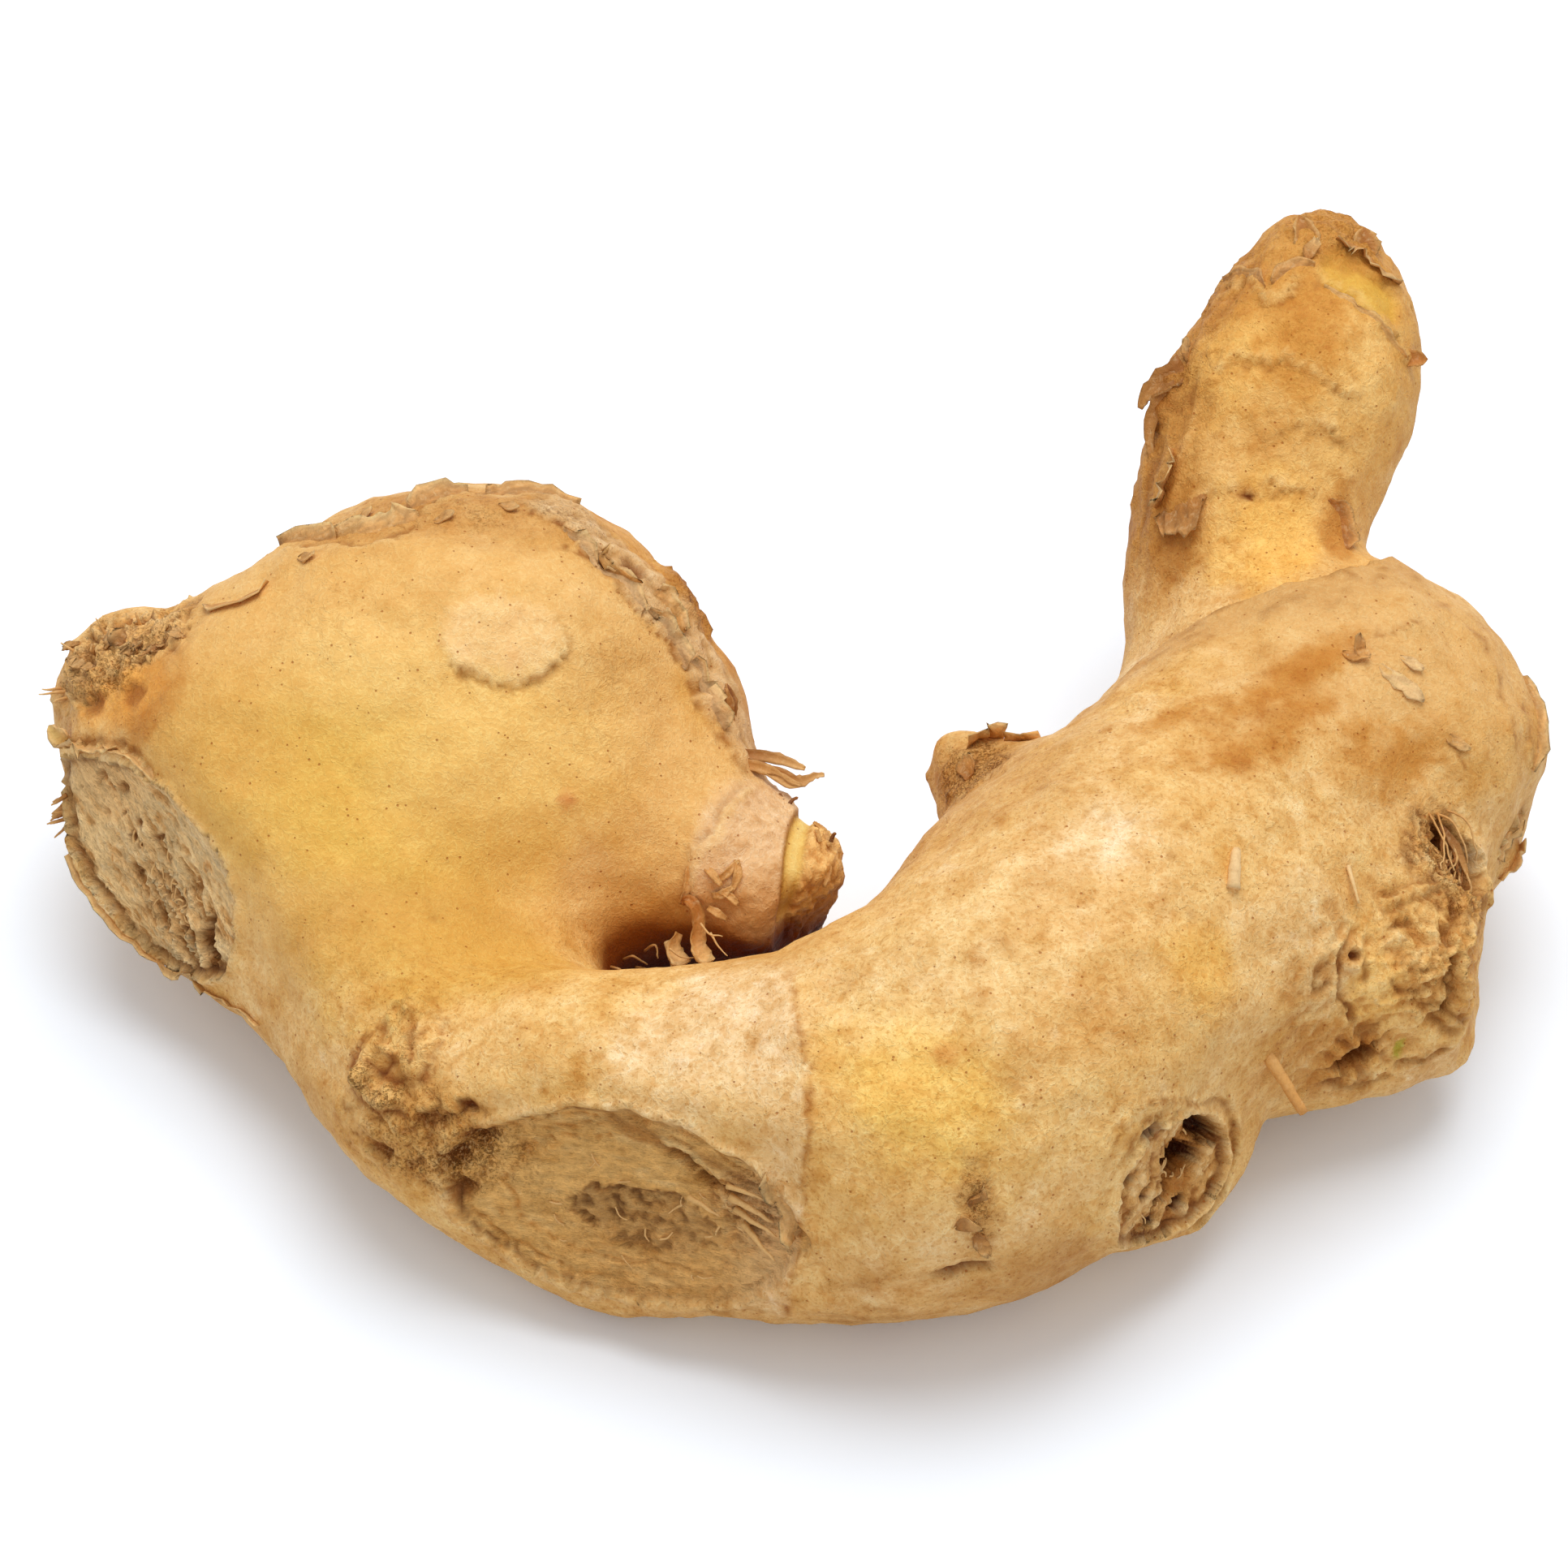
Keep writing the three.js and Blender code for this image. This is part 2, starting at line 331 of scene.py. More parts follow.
class Skin:
    """The outside as arrays: where each point is, what lifts it, and what it is made of."""

    def __init__(self, mesh):
        self.mesh = mesh
        self.places = places_of(mesh)
        self.normals = normals_of(mesh)
        count = len(self.places)
        self.lift = np.zeros(count)
        self.tint = np.zeros((count, 3))
        self.bark = np.zeros(count)  # how scaly and corky
        self.cut = np.zeros(count)  # how bare and fibrous, as on a cut face
        self.felt = np.full(count, FELT)  # how thick the felt of curled fibres is
        self.grain = self.places.copy()  # coordinates that run slower along the fibres of a cut face

    def gap_to(self, spot):
        """How far each point is from a spot."""
        return np.linalg.norm(self.places - spot, axis=1)

    def noise_on(self, where, kind, places, *how, least=0.01):
        """Noise of some kind at any coordinates, worked out only where a mask is not nothing."""
        values = np.zeros(len(where))
        near = where > least
        values[near] = kind(places[near], *how)
        return values

    def shade(self, mask, values, *tones):
        """Paints by value: each tone is where it starts, where it is full, its colour and its strength."""
        for low, high, colour, strength in tones:
            self.paint(mask * ramp(values, low, high), colour, strength)

    def dab(self, colour, strength, *shape, **more):
        """Paints one patch, whose shape is given as patch takes it."""
        self.paint(self.patch(*shape, **more), colour, strength)

    def mottle(self, where, size, seed, octaves=3, fade=0.5, axes=None):
        """Layered noise where a mask is not nothing."""
        places = self.places if axes is None else self.places @ axes
        return self.noise_on(where, layered, places, size, seed, octaves, fade, least=0.002)

    def paint(self, mask, colour, strength=1.0):
        """Moves the tint towards a colour."""
        share = np.clip(mask * strength, 0, 1)[:, None]
        self.tint += share * (np.array(colour) - self.tint)

    def darken(self, mask, factor):
        self.tint *= 1 - np.clip(mask, 0, 1)[:, None] * (1 - np.asarray(factor, float))

    def patch(
        self, centre, reach, across=None, along=(1, 0, 0), edge=0.35, wobble=0.15, grit=None, seed=0
    ):
        """1 on an uneven round or oval patch, 0 off it. Reach is its half length, across its half width."""
        across = across or reach
        offset = self.places - np.array(centre, float)
        run = offset @ unit(along)
        rest = np.linalg.norm(offset - run[:, None] * unit(along), axis=1)
        gap = np.hypot(run / reach, rest / across)
        near = gap < 1 + edge + 2 * wobble
        gap[near] += wobble * 2 * layered(self.places[near], grit or across * 0.6, seed, 3, 0.6)
        return np.where(near, 1 - ramp(gap, 1 - edge, 1 + edge), 0)

    def wandered(self, near, wander, size, seed):
        """Some of the places, shifted a little by a noise so that lines drawn on them waver."""
        places = self.places[near]
        shift = np.stack([layered(places, size, seed + 11 * i, 3, 0.6) for i in range(3)], axis=1)
        return places + wander * 2 * shift

    def stroke(self, points, wander=0.4, size=1.8, seed=0, steps=6):
        """For each point, its signed distance from a line on the surface, positive to the right of it as
        seen from outside, and how far along the line it is, from 0 to 1."""
        line = through(points, steps)
        low, high = line.min(axis=0) - 8, line.max(axis=0) + 8
        near = np.nonzero(((self.places > low) & (self.places < high)).all(axis=1))[0]
        places = self.wandered(near, wander, size, seed)
        best = np.full(len(near), 99.0)
        side = np.ones(len(near))
        share = np.zeros(len(near))
        lengths = np.linalg.norm(np.diff(line, axis=0), axis=1)
        starts = np.concatenate([[0], np.cumsum(lengths)])
        for i, length in enumerate(lengths):
            tangent = (line[i + 1] - line[i]) / length
            offset = places - line[i]
            run = np.clip(offset @ tangent, 0, length)
            gap = offset - run[:, None] * tangent
            distance = np.linalg.norm(gap, axis=1)
            closer = distance < best
            right = (gap * np.cross(tangent, self.normals[near])).sum(axis=1)
            best = np.where(closer, distance, best)
            side = np.where(closer, np.sign(right), side)
            share = np.where(closer, (starts[i] + run) / starts[-1], share)
        signed = np.full(len(self.places), 99.0)
        along = np.zeros(len(self.places))
        signed[near] = best * side
        along[near] = share
        return signed, along

    def inside(self, outline, facing, wander=0.3, size=1.8, seed=0):
        """How far inside a closed outline each point is, seen from the side it faces. Outside is below 0."""
        closed = outline + outline[:1]
        signed, _ = self.stroke(closed, wander, size, seed, 3)
        facing = unit(facing)
        across = unit(np.cross(facing, (0, 0, 1)))
        flat = np.stack([across, np.cross(across, facing)], axis=1)
        near = np.nonzero((signed < 90) & (self.normals @ facing > 0.1))[0]
        spots = self.wandered(near, wander, size, seed) @ flat
        line = through(closed, 3) @ flat
        within = np.zeros(len(near), bool)
        for (x, y), (next_x, next_y) in zip(line[:-1], line[1:]):
            if y == next_y:
                continue
            spans = (y > spots[:, 1]) != (next_y > spots[:, 1])
            within ^= spans & (spots[:, 0] < x + (spots[:, 1] - y) * (next_x - x) / (next_y - y))
        depth = np.full(len(signed), -99.0)
        depth[near] = np.abs(signed[near]) * np.where(within, 1, -1)
        return depth

    def ledge(self, points, height=0.35, back=2.5, crack=0.6, rim=0.3, wander=0.45, seed=0, ends=0.15):
        """The edge of a papery scale: it stands up to the right of the line and ends sharply at it. Painted
        shade darkens the foot of the edge, and a painted highlight lightens its crest.
        """
        signed, along = self.stroke(points, wander, seed=seed)
        close = (np.abs(signed) < 8).astype(float)
        fade = span(along, ends, 1 - ends) * close
        ragged = np.clip(0.75 + 0.9 * self.mottle(close, 2.4, seed + 50), 0.1, 1.6)
        step = ramp(signed, -0.22, 0.22) * np.exp(-np.clip(signed, 0, None) / back)
        self.lift += height * fade * ragged * step
        # Painted shade in the groove at the foot of the edge, as strong as crack says.
        groove = peak(signed, -0.35, 0.3) * fade * np.clip(ragged, 0, 1)
        self.lift -= 0.12 * groove
        self.darken(groove * crack, (0.6, 0.47, 0.33))
        # A painted highlight along the crest, as strong as rim says.
        highlight_crest = peak(signed, 0.4, 0.35) * fade
        self.paint(highlight_crest, STRAW, rim)

    def seam(self, points, height=0.18, width=0.9, crack=0.35, wander=0.3, seed=0):
        """A low seam where an old scale was joined: a soft ridge with a thin dark line along it."""
        signed, along = self.stroke(points, wander, seed=seed)
        close = (np.abs(signed) < 4).astype(float)
        fade = span(along, 0.12, 0.88) * close
        self.lift += height * fade * peak(signed, 0, width)
        line = peak(signed, -0.3, 0.22) * fade
        self.lift -= 0.1 * line
        broken = ramp(self.mottle(close, 1.8, seed + 30), -0.35, 0.15)
        self.darken(line * crack * broken, (0.72, 0.6, 0.46))

    def fold(self, points, depth=0.6, width=0.6, dark=0.6, wander=0.3, seed=0):
        """A groove between two wrinkles, darkened with painted shade."""
        signed, along = self.stroke(points, wander, seed=seed)
        dip = peak(signed, 0, width) * span(along, 0.1, 0.9)
        self.lift -= depth * dip
        # Painted shade in the groove.
        self.darken(dark * dip, (0.55, 0.42, 0.28))

    def hollow(self, centre, reach, depth, across=None, along=(1, 0, 0), dark=0.7, wobble=0.2, seed=0):
        """A pit with uneven walls, darkened towards its floor with painted shade."""
        mask = self.patch(centre, reach, across, along, 0.45, wobble, seed=seed)
        self.lift -= depth * mask
        # Painted shade, darkest at the pit's floor.
        self.darken(mask * dark, (0.5, 0.33, 0.18))
        return mask

    def pits(self, where, share, spacing, depth, dark, seed):
        """Small holes scattered over a masked part, each darkened with painted shade; share says how many of
        the places hold one.
        """
        near = np.nonzero(where > 0.05)[0]
        gap, number = cells_near(self.places[near], spacing, seed)
        size = 0.16 + 0.22 * (number / share)
        hole = np.zeros(len(where))
        hole[near] = np.where(number < share, 1 - ramp(gap, size * 0.5, size * 1.3), 0) * where[near]
        self.lift -= depth * hole
        # Painted shade in each hole.
        self.darken(hole * dark, (0.5, 0.34, 0.2))

    def swirl(self, where, centre, normal, seed, size=1.1, turn=2.2, warp=0.8):
        """Wrinkles that run round a centre, 0 in the folds to 1 on the crests."""
        normal = unit(normal)
        side = unit(np.cross(normal, (0, 0, 1)))
        offset = self.places - np.array(centre, float)
        a, c = offset @ side, offset @ np.cross(side, normal)
        spread = np.hypot(a, c) + 1e-6
        shifted = spread + warp * 2 * self.mottle(where, 3.2, seed, 2)
        round_it = np.stack([shifted / size, turn * a / spread, turn * c / spread], axis=1)
        return self.noise_on(where, ridged, round_it, 1.0, seed + 5, 2, least=0.002)

    def plane(self, centre, normal, long, short, along, wobble=0.05, seed=0, deep=5):
        """An oval face: its gap, 1 on its outline, and its own two coordinates."""
        normal = unit(normal)
        along = unit(np.array(along) - normal * (np.array(along) @ normal))
        across = np.cross(normal, along)
        offset = self.places - np.array(centre, float)
        a, c, d = offset @ along, offset @ across, offset @ normal
        gap = np.hypot(a / long, c / short)
        near = (np.abs(d) < deep) & (self.normals @ normal > 0.15) & (gap < 1.6)
        gap[near] += wobble * 2 * layered(self.places[near], short * 0.5, seed)
        return np.where(near, gap, 9), a, c


# --------------------------------------------------------------------------------------- the features

# Skin colours.
SKIN = (234, 181, 108)
TAN = (214, 158, 88)
PEACH = (246, 202, 142)
OCHRE = (228, 168, 82)
STRAW = (244, 202, 136)
# Painted shade: the deep brown of the crevice, where little light reaches.
CREVICE_SHADE = (84, 24, 3)


def first_coat(skin):
    """Slow unevenness everywhere: low lumps, cloudy colour, and a scaly feel in places."""
    places = skin.places
    skin.lift += 0.38 * noise(places, 6.5, 1) + 0.2 * noise(places, 2.6, 2)
    skin.lift += 0.06 * layered(places, 1.1, 3, 2)
    skin.paint(np.ones(len(places)), SKIN)
    skin.paint(ramp(layered(places, 15, 4), -0.1, 0.45), PEACH, 0.45)
    skin.paint(ramp(layered(places, 12, 5), 0.0, 0.5), TAN, 0.6)
    skin.paint(ramp(layered(places, 9, 6, 4, 0.6), 0.1, 0.55), OCHRE, 0.55)
    skin.bark += 0.3 + 0.35 * ramp(layered(places, 10, 9), 0.0, 0.5)


def blotches(skin):
    """Small blotches over everything but the cut faces: brown where the skin is dry, pale where split."""
    places = skin.places
    bare = (1 - skin.cut) * (0.3 + 0.7 * ramp(skin.felt, 0.05, 0.3))
    for size, seed, octaves, fade, low, strength, factor in (
        (4.5, 7, 4, 0.65, 0.05, 0.45, (0.88, 0.78, 0.62)),
        (3.2, 8, 3, 0.65, 0.12, 0.4, (1.05, 1.12, 1.3)),
        (2.1, 10, 4, 0.7, 0.15, 0.5, (0.86, 0.74, 0.56)),
        (1.5, 11, 3, 0.7, 0.18, 0.4, (1.06, 1.13, 1.3)),
    ):
        blots = ramp(layered(places, size, seed, octaves, fade), low, 0.45)
        skin.darken(bare * blots * strength, factor)


def left_lobe(skin):
    """The swollen lobe on the left: a smooth yellow belly under a scaly top edge."""
    glow = skin.patch((-33, -9.5, 27), 15, 9.5, (0.9, -0.25, 0), 0.5, 0.1, seed=20)
    skin.paint(glow, (234, 182, 84), 0.9)
    skin.bark *= 1 - 0.8 * glow
    skin.felt *= 1 - 0.8 * skin.patch((-29, -4, 30), 28, 22, edge=0.3, seed=18)
    skin.dab((250, 200, 116), 0.8, (-24, -7, 29.5), 10, 8, (0.8, 0.3, 0), 0.6, 0.12, seed=21)
    skin.dab((232, 174, 94), 0.5, (-33, 5, 36), 13, 5.5, (1, 0, 0), 0.5, 0.2, seed=19)
    skin.dab((251, 203, 122), 0.7, (-35, -1, 33.5), 7, 4, (1, 0, 0), 0.6, 0.15, seed=16)
    skin.dab((228, 170, 86), 0.6, (-46, -3, 29), 9, 7, (0, 1, 0), 0.6, 0.2, seed=22)
    skin.dab((192, 122, 52), 0.85, (-54, 0.5, 28), 5, 3.4, (1, 0.5, 0), 0.5, 0.25, seed=23)
    skin.dab((208, 152, 70), 0.85, (-30, -19, 20), 10, 5, (1, 0.1, 0), 0.6, 0.15, seed=29)
    band = skin.patch((-29, 14, 36.5), 17, 4.5, (1, 0, 0), 0.6, 0.2, seed=24)
    skin.paint(band, (200, 138, 70), 0.7)
    skin.bark += 0.6 * band
    # The back of the lobe, which the photograph doesn't show.
    skin.dab((222, 168, 98), 0.5, (-32, 24, 22), 18, 11, (1, 0, 0), 0.6, 0.2, seed=25)

    # A bare peach-coloured patch with a raised lower rim.
    outline = [
        (-29.3, 0.5, 35.6), (-28, 3, 36.5), (-25, 4.2, 36.8), (-21.8, 3.8, 36), (-19.4, 2.2, 34.8),
        (-19, 0, 34), (-20.4, -1.6, 33.4), (-22.8, -2.6, 33), (-25.2, -2, 33.8), (-26.4, -2.6, 33.8),
        (-28.4, -1.6, 34.4),
    ]
    signed = skin.inside(outline, (-0.1, -0.5, 0.85), 0.45, 1.4, 26)
    patch = ramp(signed, -0.1, 0.35)
    skin.lift += 0.22 * patch + 0.1 * patch * skin.mottle(patch, 1.2, 18)
    skin.paint(ramp(signed, -0.4, 1.4), (252, 206, 140), 0.85)
    skin.paint(patch * ramp(skin.mottle(patch, 1.6, 17), 0.1, 0.4), (236, 180, 114), 0.4)
    skin.bark *= 1 - 0.7 * patch
    rim = [
        (-19.2, 2.2, 34.7), (-19, 0, 34), (-20.6, -1.8, 33.2), (-23, -2.7, 32.9), (-26, -2.4, 33.7),
        (-28.6, -1, 34.7),
    ]
    skin.ledge(rim, 0.3, 0.9, 0.6, 0.7, 0.35, 27)
    skin.hollow((-29.4, -18.2, 22), 1.3, 0.3, 0.5, (1, 0.2, 0), 0.6, seed=28)
    blister = skin.patch((-18.6, -8.6, 25.7), 0.9, 0.6, edge=0.4)
    skin.paint(blister, (214, 136, 74), 0.8)
    skin.lift += 0.28 * blister
    skin.lift += 0.2 * skin.patch((-36.4, -9.1, 28.5), 0.6, 0.5, edge=0.5)

    # Scale edges along the top and down the right side of the lobe.
    lines = [
        ([(-43, 13, 32), (-39, 11, 35), (-36, 10, 36.3), (-33, 10, 37), (-30, 13, 37)], 0.45, 3),
        (
            [(-32, 12, 37), (-29.5, 15.5, 36.3), (-26, 17, 35.7), (-19, 17.3, 34.2), (-15.5, 14, 33.5)],
            0.55, 3,
        ),
        ([(-47, 12, 28), (-43, 15, 31), (-39, 15.5, 33.5), (-35, 14, 35.5)], 0.4, 2),
    ]
    for i, (line, height, back) in enumerate(lines):
        skin.ledge(line, height, back, seed=30 + i)
    # The node ring: a papery wrinkled collar, greyish, that laps over the lobe's right shoulder.
    node = [
        (-24, 15.5, 36.3), (-20.5, 13, 36), (-18, 10.5, 35.4), (-15.5, 8.5, 34.2), (-13, 6.4, 32.2),
        (-10.6, 5.4, 29.4), (-8.8, 3.6, 26.6), (-7, 1, 24), (-5.5, 0, 22), (-5.5, -3, 21.5),
    ]
    signed, along = skin.stroke(node[::-1], 0.8, 2.2, 33)
    reach = span(along, 0.12, 0.92)
    collar = reach * ramp(signed, -0.2, 0.5) * ramp(signed, 7.5, 5)
    skin.paint(collar, (224, 178, 122), 0.85)
    wrinkles = skin.mottle(collar, (4, 1.3, 1.3), 34, 3, 0.55, CREASE)
    skin.lift += collar * (0.35 + 0.45 * wrinkles)
    # Painted shade in the folds of the wrinkles and a painted highlight on their crests.
    skin.shade(collar, wrinkles, (-0.08, -0.35, (176, 124, 66), 0.7), (0.1, 0.4, (244, 204, 150), 0.6))
    skin.bark += 0.3 * collar
    skin.felt *= 1 - 0.8 * collar
    # Painted shade where the collar's edge stands over the skin.
    skin.darken(0.75 * reach * peak(signed, -0.25, 0.3), (0.62, 0.46, 0.3))
    outer = reach * ramp(signed, 5, 6.5)
    skin.paint(outer, (214, 146, 66), 0.6)
    skin.hollow((-13.4, 11, 33), 1.3, 0.9, 0.9, (1, 0, -1), 0.9, 0.3, seed=36)
    skin.hollow((-16, 9.8, 34.5), 1.5, 0.6, 0.6, (1, -0.6, -0.4), 0.8, 0.3, seed=37)
    nub = skin.patch((-9.6, 13, 27.6), 3.4, 2.4, (0.4, -0.4, -0.8), 0.4, 0.25, seed=38)
    skin.lift += nub * (0.9 + 0.7 * skin.mottle(nub, 1.4, 39))
    skin.paint(nub, (178, 112, 46), 0.8)
    skin.bark += 0.8 * nub


def left_end(skin):
    """The old end, broken off long ago, and the cut face below it."""
    rough = skin.patch((-56.5, 9, 26), 8, 6, (0.7, -0.3, 0.6), 0.3, 0.2, 2, seed=40)
    skin.paint(rough, (238, 178, 104), 0.9)
    slots = skin.noise_on(rough, ridged, skin.places @ SLANT, (1.6, 3.4, 1.6), 42, 3)
    lumps = skin.mottle(rough, 2.6, 43, 3, 0.6)
    skin.lift += rough * (1.5 * (slots - 0.5) + 1.1 * lumps)
    # Painted shade in the slots and a painted highlight on the ridges between them.
    skin.shade(rough, slots, (0.42, 0.2, (112, 62, 22), 0.8), (0.55, 0.8, (250, 204, 138), 0.75))
    skin.bark += 0.9 * rough
    skin.felt *= 1 - 0.8 * rough
    skin.pits(rough, 0.55, 2.0, 1.0, 0.9, 44)
    smooth_side = skin.patch((-60.5, 7, 22.5), 4.6, 3.2, (0.3, -0.4, 0.8), 0.4, 0.2, 2, seed=46)
    skin.paint(smooth_side, (214, 162, 98), 0.7)
    skin.dab((238, 164, 76), 0.85, (-55.5, 2.4, 26.8), 4.8, 2.6, (1, -0.3, 0.6), 0.5, 0.3, 1.6, seed=47)
    for spot in [(-58, 3.6, 24.6), (-54.5, 1.6, 27.8)]:
        skin.hollow(spot, 1.2, 0.35, dark=0.5, seed=48)

    # The cut face, sunk a little within its rim, with a net of fibres, pits, and a deep hole low down.
    outline = [
        (-61.3, 3, 18.5), (-59, 1, 21), (-56.5, -1, 22.8), (-54, -3, 24), (-51, -6, 24), (-48.5, -9, 23),
        (-46.5, -12, 21.5), (-45.5, -14.5, 18.5), (-45.8, -16, 15.5), (-46.8, -16, 13),
        (-50.5, -12.5, 9.5), (-54, -9, 9), (-57, -6.5, 10.5), (-59.5, -3.5, 13), (-60.8, 0, 16),
    ]
    signed = skin.inside(outline, (-0.64, -0.68, 0.34), 0.25, 2, 50)
    face = ramp(signed, -0.1, 0.45)
    along = unit((0.5, -0.75, -0.4))
    run = skin.places @ along
    grain = skin.places - 0.72 * run[:, None] * along
    skin.cut = np.maximum(skin.cut, face)
    skin.grain = np.where((signed > -1)[:, None], grain, skin.grain)
    skin.paint(face, (255, 214, 152), 0.95)
    net = skin.noise_on(face, ridged, grain, 1.1, 51, 3)
    skin.lift += face * (0.5 * (net - 0.45) - 0.5)
    # Painted shade in the net's hollows and a painted highlight on its crests.
    skin.shade(face, net, (0.36, 0.12, (204, 142, 76), 0.8), (0.6, 0.85, (255, 226, 176), 0.6))
    skin.paint(face * skin.patch((-52, -9, 14), 6, 3, along, 0.5, 0.3, seed=52), (206, 150, 88), 0.55)
    skin.paint(face * skin.patch((-56.5, -1, 20.5), 5, 4, edge=0.4, seed=49), (255, 206, 140), 0.8)
    skin.pits(face * skin.patch((-56.5, -1.5, 20.5), 4, 3, edge=0.4, seed=54), 0.8, 1.6, 0.6, 0.5, 55)
    torn = face * skin.patch((-50.8, -10, 14), 7, 3.4, along, 0.5, 0.25, 1.6, seed=56)
    skin.lift += 1.0 * torn * (net - 0.5)
    # Painted shade in the torn part's hollows and a painted highlight on its crests.
    skin.shade(torn, net, (0.44, 0.28, (126, 74, 30), 0.75), (0.6, 0.8, (255, 222, 166), 0.8))
    skin.pits(face * skin.patch((-53, -7, 16.5), 8, 3.5, along, 0.4, seed=45), 0.5, 1.1, 0.5, 0.8, 41)
    skin.hollow((-48.4, -13.4, 14.5), 2.0, 1.6, 0.8, (0.1, -0.35, -1), 1.0, 0.35, seed=53)
    # A painted highlight on the raised rim and painted shade just inside it.
    rim = peak(signed, -0.25, 0.3)
    skin.lift += 0.45 * rim
    skin.paint(rim, (238, 194, 132), 0.7)
    skin.darken(0.75 * peak(signed, 0.35, 0.28), (0.5, 0.38, 0.26))
    # Old scale edges round it: at its head, and two along its lower side.
    skin.ledge(
        [(-61.5, 4, 19.5), (-59.5, 1.6, 21.8), (-56, -1, 24.2), (-53.5, -3, 24.6), (-51, -5.6, 24.3)],
        0.8, 1.4, 0.9, 0.6, 0.4, 58,
    )
    low = [
        (-61, -1.5, 14), (-58.8, -5, 11.2), (-55, -8.8, 8.6), (-52, -11.4, 8.5), (-47.5, -15.3, 9.6),
        (-44, -20, 11.8),
    ]
    skin.ledge(low[::-1], 0.35, 1.2, 0.9, 0.5, 0.15, 59)
    skin.ledge([(x - 0.3, y - 0.8, z - 1.2) for x, y, z in low][::-1], 0.3, 1.2, 0.8, 0.5, 0.15, 60)


def front_face(skin):
    """The large cut face low at the front, with corky crusts beside it."""
    gap, a, c = skin.plane((-13.5, -41.8, 14.2), (-0.3, -0.91, 0.27), 14.6, 8.6, (1, -0.3, 0.1), seed=60)
    face = 1 - ramp(gap, 0.93, 1.0)
    oval = np.stack([a * 0.35, c, gap], axis=1)
    skin.cut = np.maximum(skin.cut, 0.85 * face)
    skin.grain = np.where((gap < 1.2)[:, None], oval, skin.grain)
    skin.paint(face, (232, 178, 104), 0.95)
    streaks = skin.noise_on(face, layered, oval * (0.8, 1, 0), 1.2, 61, 4, 0.65)
    skin.shade(face, streaks, (0.05, 0.45, (190, 134, 66), 0.7), (-0.1, -0.45, (248, 206, 140), 0.6))
    skin.lift += face * (0.3 * streaks - 0.45)
    # Rings that follow its rim.
    waver = skin.noise_on(face, layered, skin.places, 3.0, 59, 3)
    for i, (ring, wide, deep) in enumerate(
        [(0.9, 0.014, 0.3), (0.8, 0.02, 0.25), (0.68, 0.016, 0.2), (0.6, 0.02, 0.25)]
    ):
        broken = ramp(waver + 0.3 * (-1) ** i, -0.35, 0.1)
        line = peak(gap + 0.05 * waver, ring, wide) * broken
        skin.lift -= deep * line
        skin.paint(line, (186, 116, 48), 0.75)
    # A raised lip, with painted shade just inside it and a painted highlight on its outer slope.
    skin.lift += 0.5 * peak(gap, 1.03, 0.04)
    skin.darken(0.7 * peak(gap, 0.965, 0.018), (0.42, 0.3, 0.2))
    skin.paint(peak(gap, 1.045, 0.04), (248, 204, 142), 0.6)
    # The ringed greyish zone in its lower middle.
    edge = [
        (-18, -40, 13), (-16, -40, 14.5), (-13, -41, 15), (-9.5, -42, 15.5), (-6.5, -44, 13),
        (-8.5, -44, 11), (-12.5, -42.5, 10), (-15.5, -41.5, 10), (-17.5, -40.5, 11.5),
    ]
    signed = skin.inside(edge, (-0.3, -0.91, 0.27), 0.5, 1.6, 62)
    zone = ramp(signed, -0.3, 0.5)
    skin.paint(zone, (172, 124, 70), 0.75)
    # Painted shade along the edge of the sunk zone.
    skin.darken(0.7 * peak(signed, 0.1, 0.22), (0.5, 0.36, 0.22))
    skin.lift -= 0.35 * zone * (0.6 + 0.6 * skin.mottle(zone, 1.2, 63))
    grain = skin.mottle(zone, 1.0, 49)
    skin.lift += 0.5 * zone * grain
    # Painted shade in the grain's hollows and a painted highlight on its crests.
    skin.shade(zone, grain, (0.0, -0.3, (96, 58, 26), 0.85), (0.1, 0.35, (204, 158, 98), 0.75))
    skin.pits(skin.patch((-8, -43.6, 12.6), 3.2, 2.2, edge=0.4, seed=48), 0.7, 1.3, 0.7, 0.8, 79)
    # Dark shelf along its upper right, the torn crack darkened with painted shade, and pale splinters right
    # of it, with a painted highlight on their tops and painted shade between them.
    shelf = [
        (-14, -39, 21.8), (-11, -40, 21), (-8.5, -41, 20.8), (-5.5, -42.6, 20), (-3, -43.8, 19.2),
        (-1.5, -45, 18),
    ]
    band, _ = skin.stroke(shelf, 0.3, seed=47)
    skin.paint(face * peak(band, 0.8, 0.7), (170, 112, 54), 0.75)
    skin.fold(
        [(-10, -40.5, 19.8), (-9, -41, 19), (-7.5, -42, 18), (-6, -43, 17.5), (-4.6, -43.7, 17)], 1.6,
        0.4, 1.0, 0.3, 64,
    )
    skin.ledge(
        [(-11.2, -40, 20.4), (-9.2, -40.8, 19.9), (-7.4, -41.9, 18.9), (-5.6, -43, 18.3)][::-1], 0.5, 0.8,
        0.2, 0.9, 0.3, 46,
    )
    splinters = skin.patch((-3.8, -43.8, 15.8), 3.2, 2.6, (0.8, -0.2, -0.6), 0.4, 0.25, 1, seed=65)
    skin.paint(splinters, (214, 160, 96), 0.8)
    lean = np.stack([a * 0.35 + c * 0.25, c, c * 0], axis=1)
    shreds = skin.noise_on(splinters, ridged, lean, 0.8, 66, 2)
    skin.lift += 0.8 * splinters * (shreds - 0.4)
    # Painted highlight on the splinters' tops, painted shade between them.
    skin.paint(splinters * ramp(shreds, 0.5, 0.8), (252, 212, 150), 0.85)
    skin.darken(splinters * ramp(shreds, 0.35, 0.15), (0.5, 0.36, 0.24))
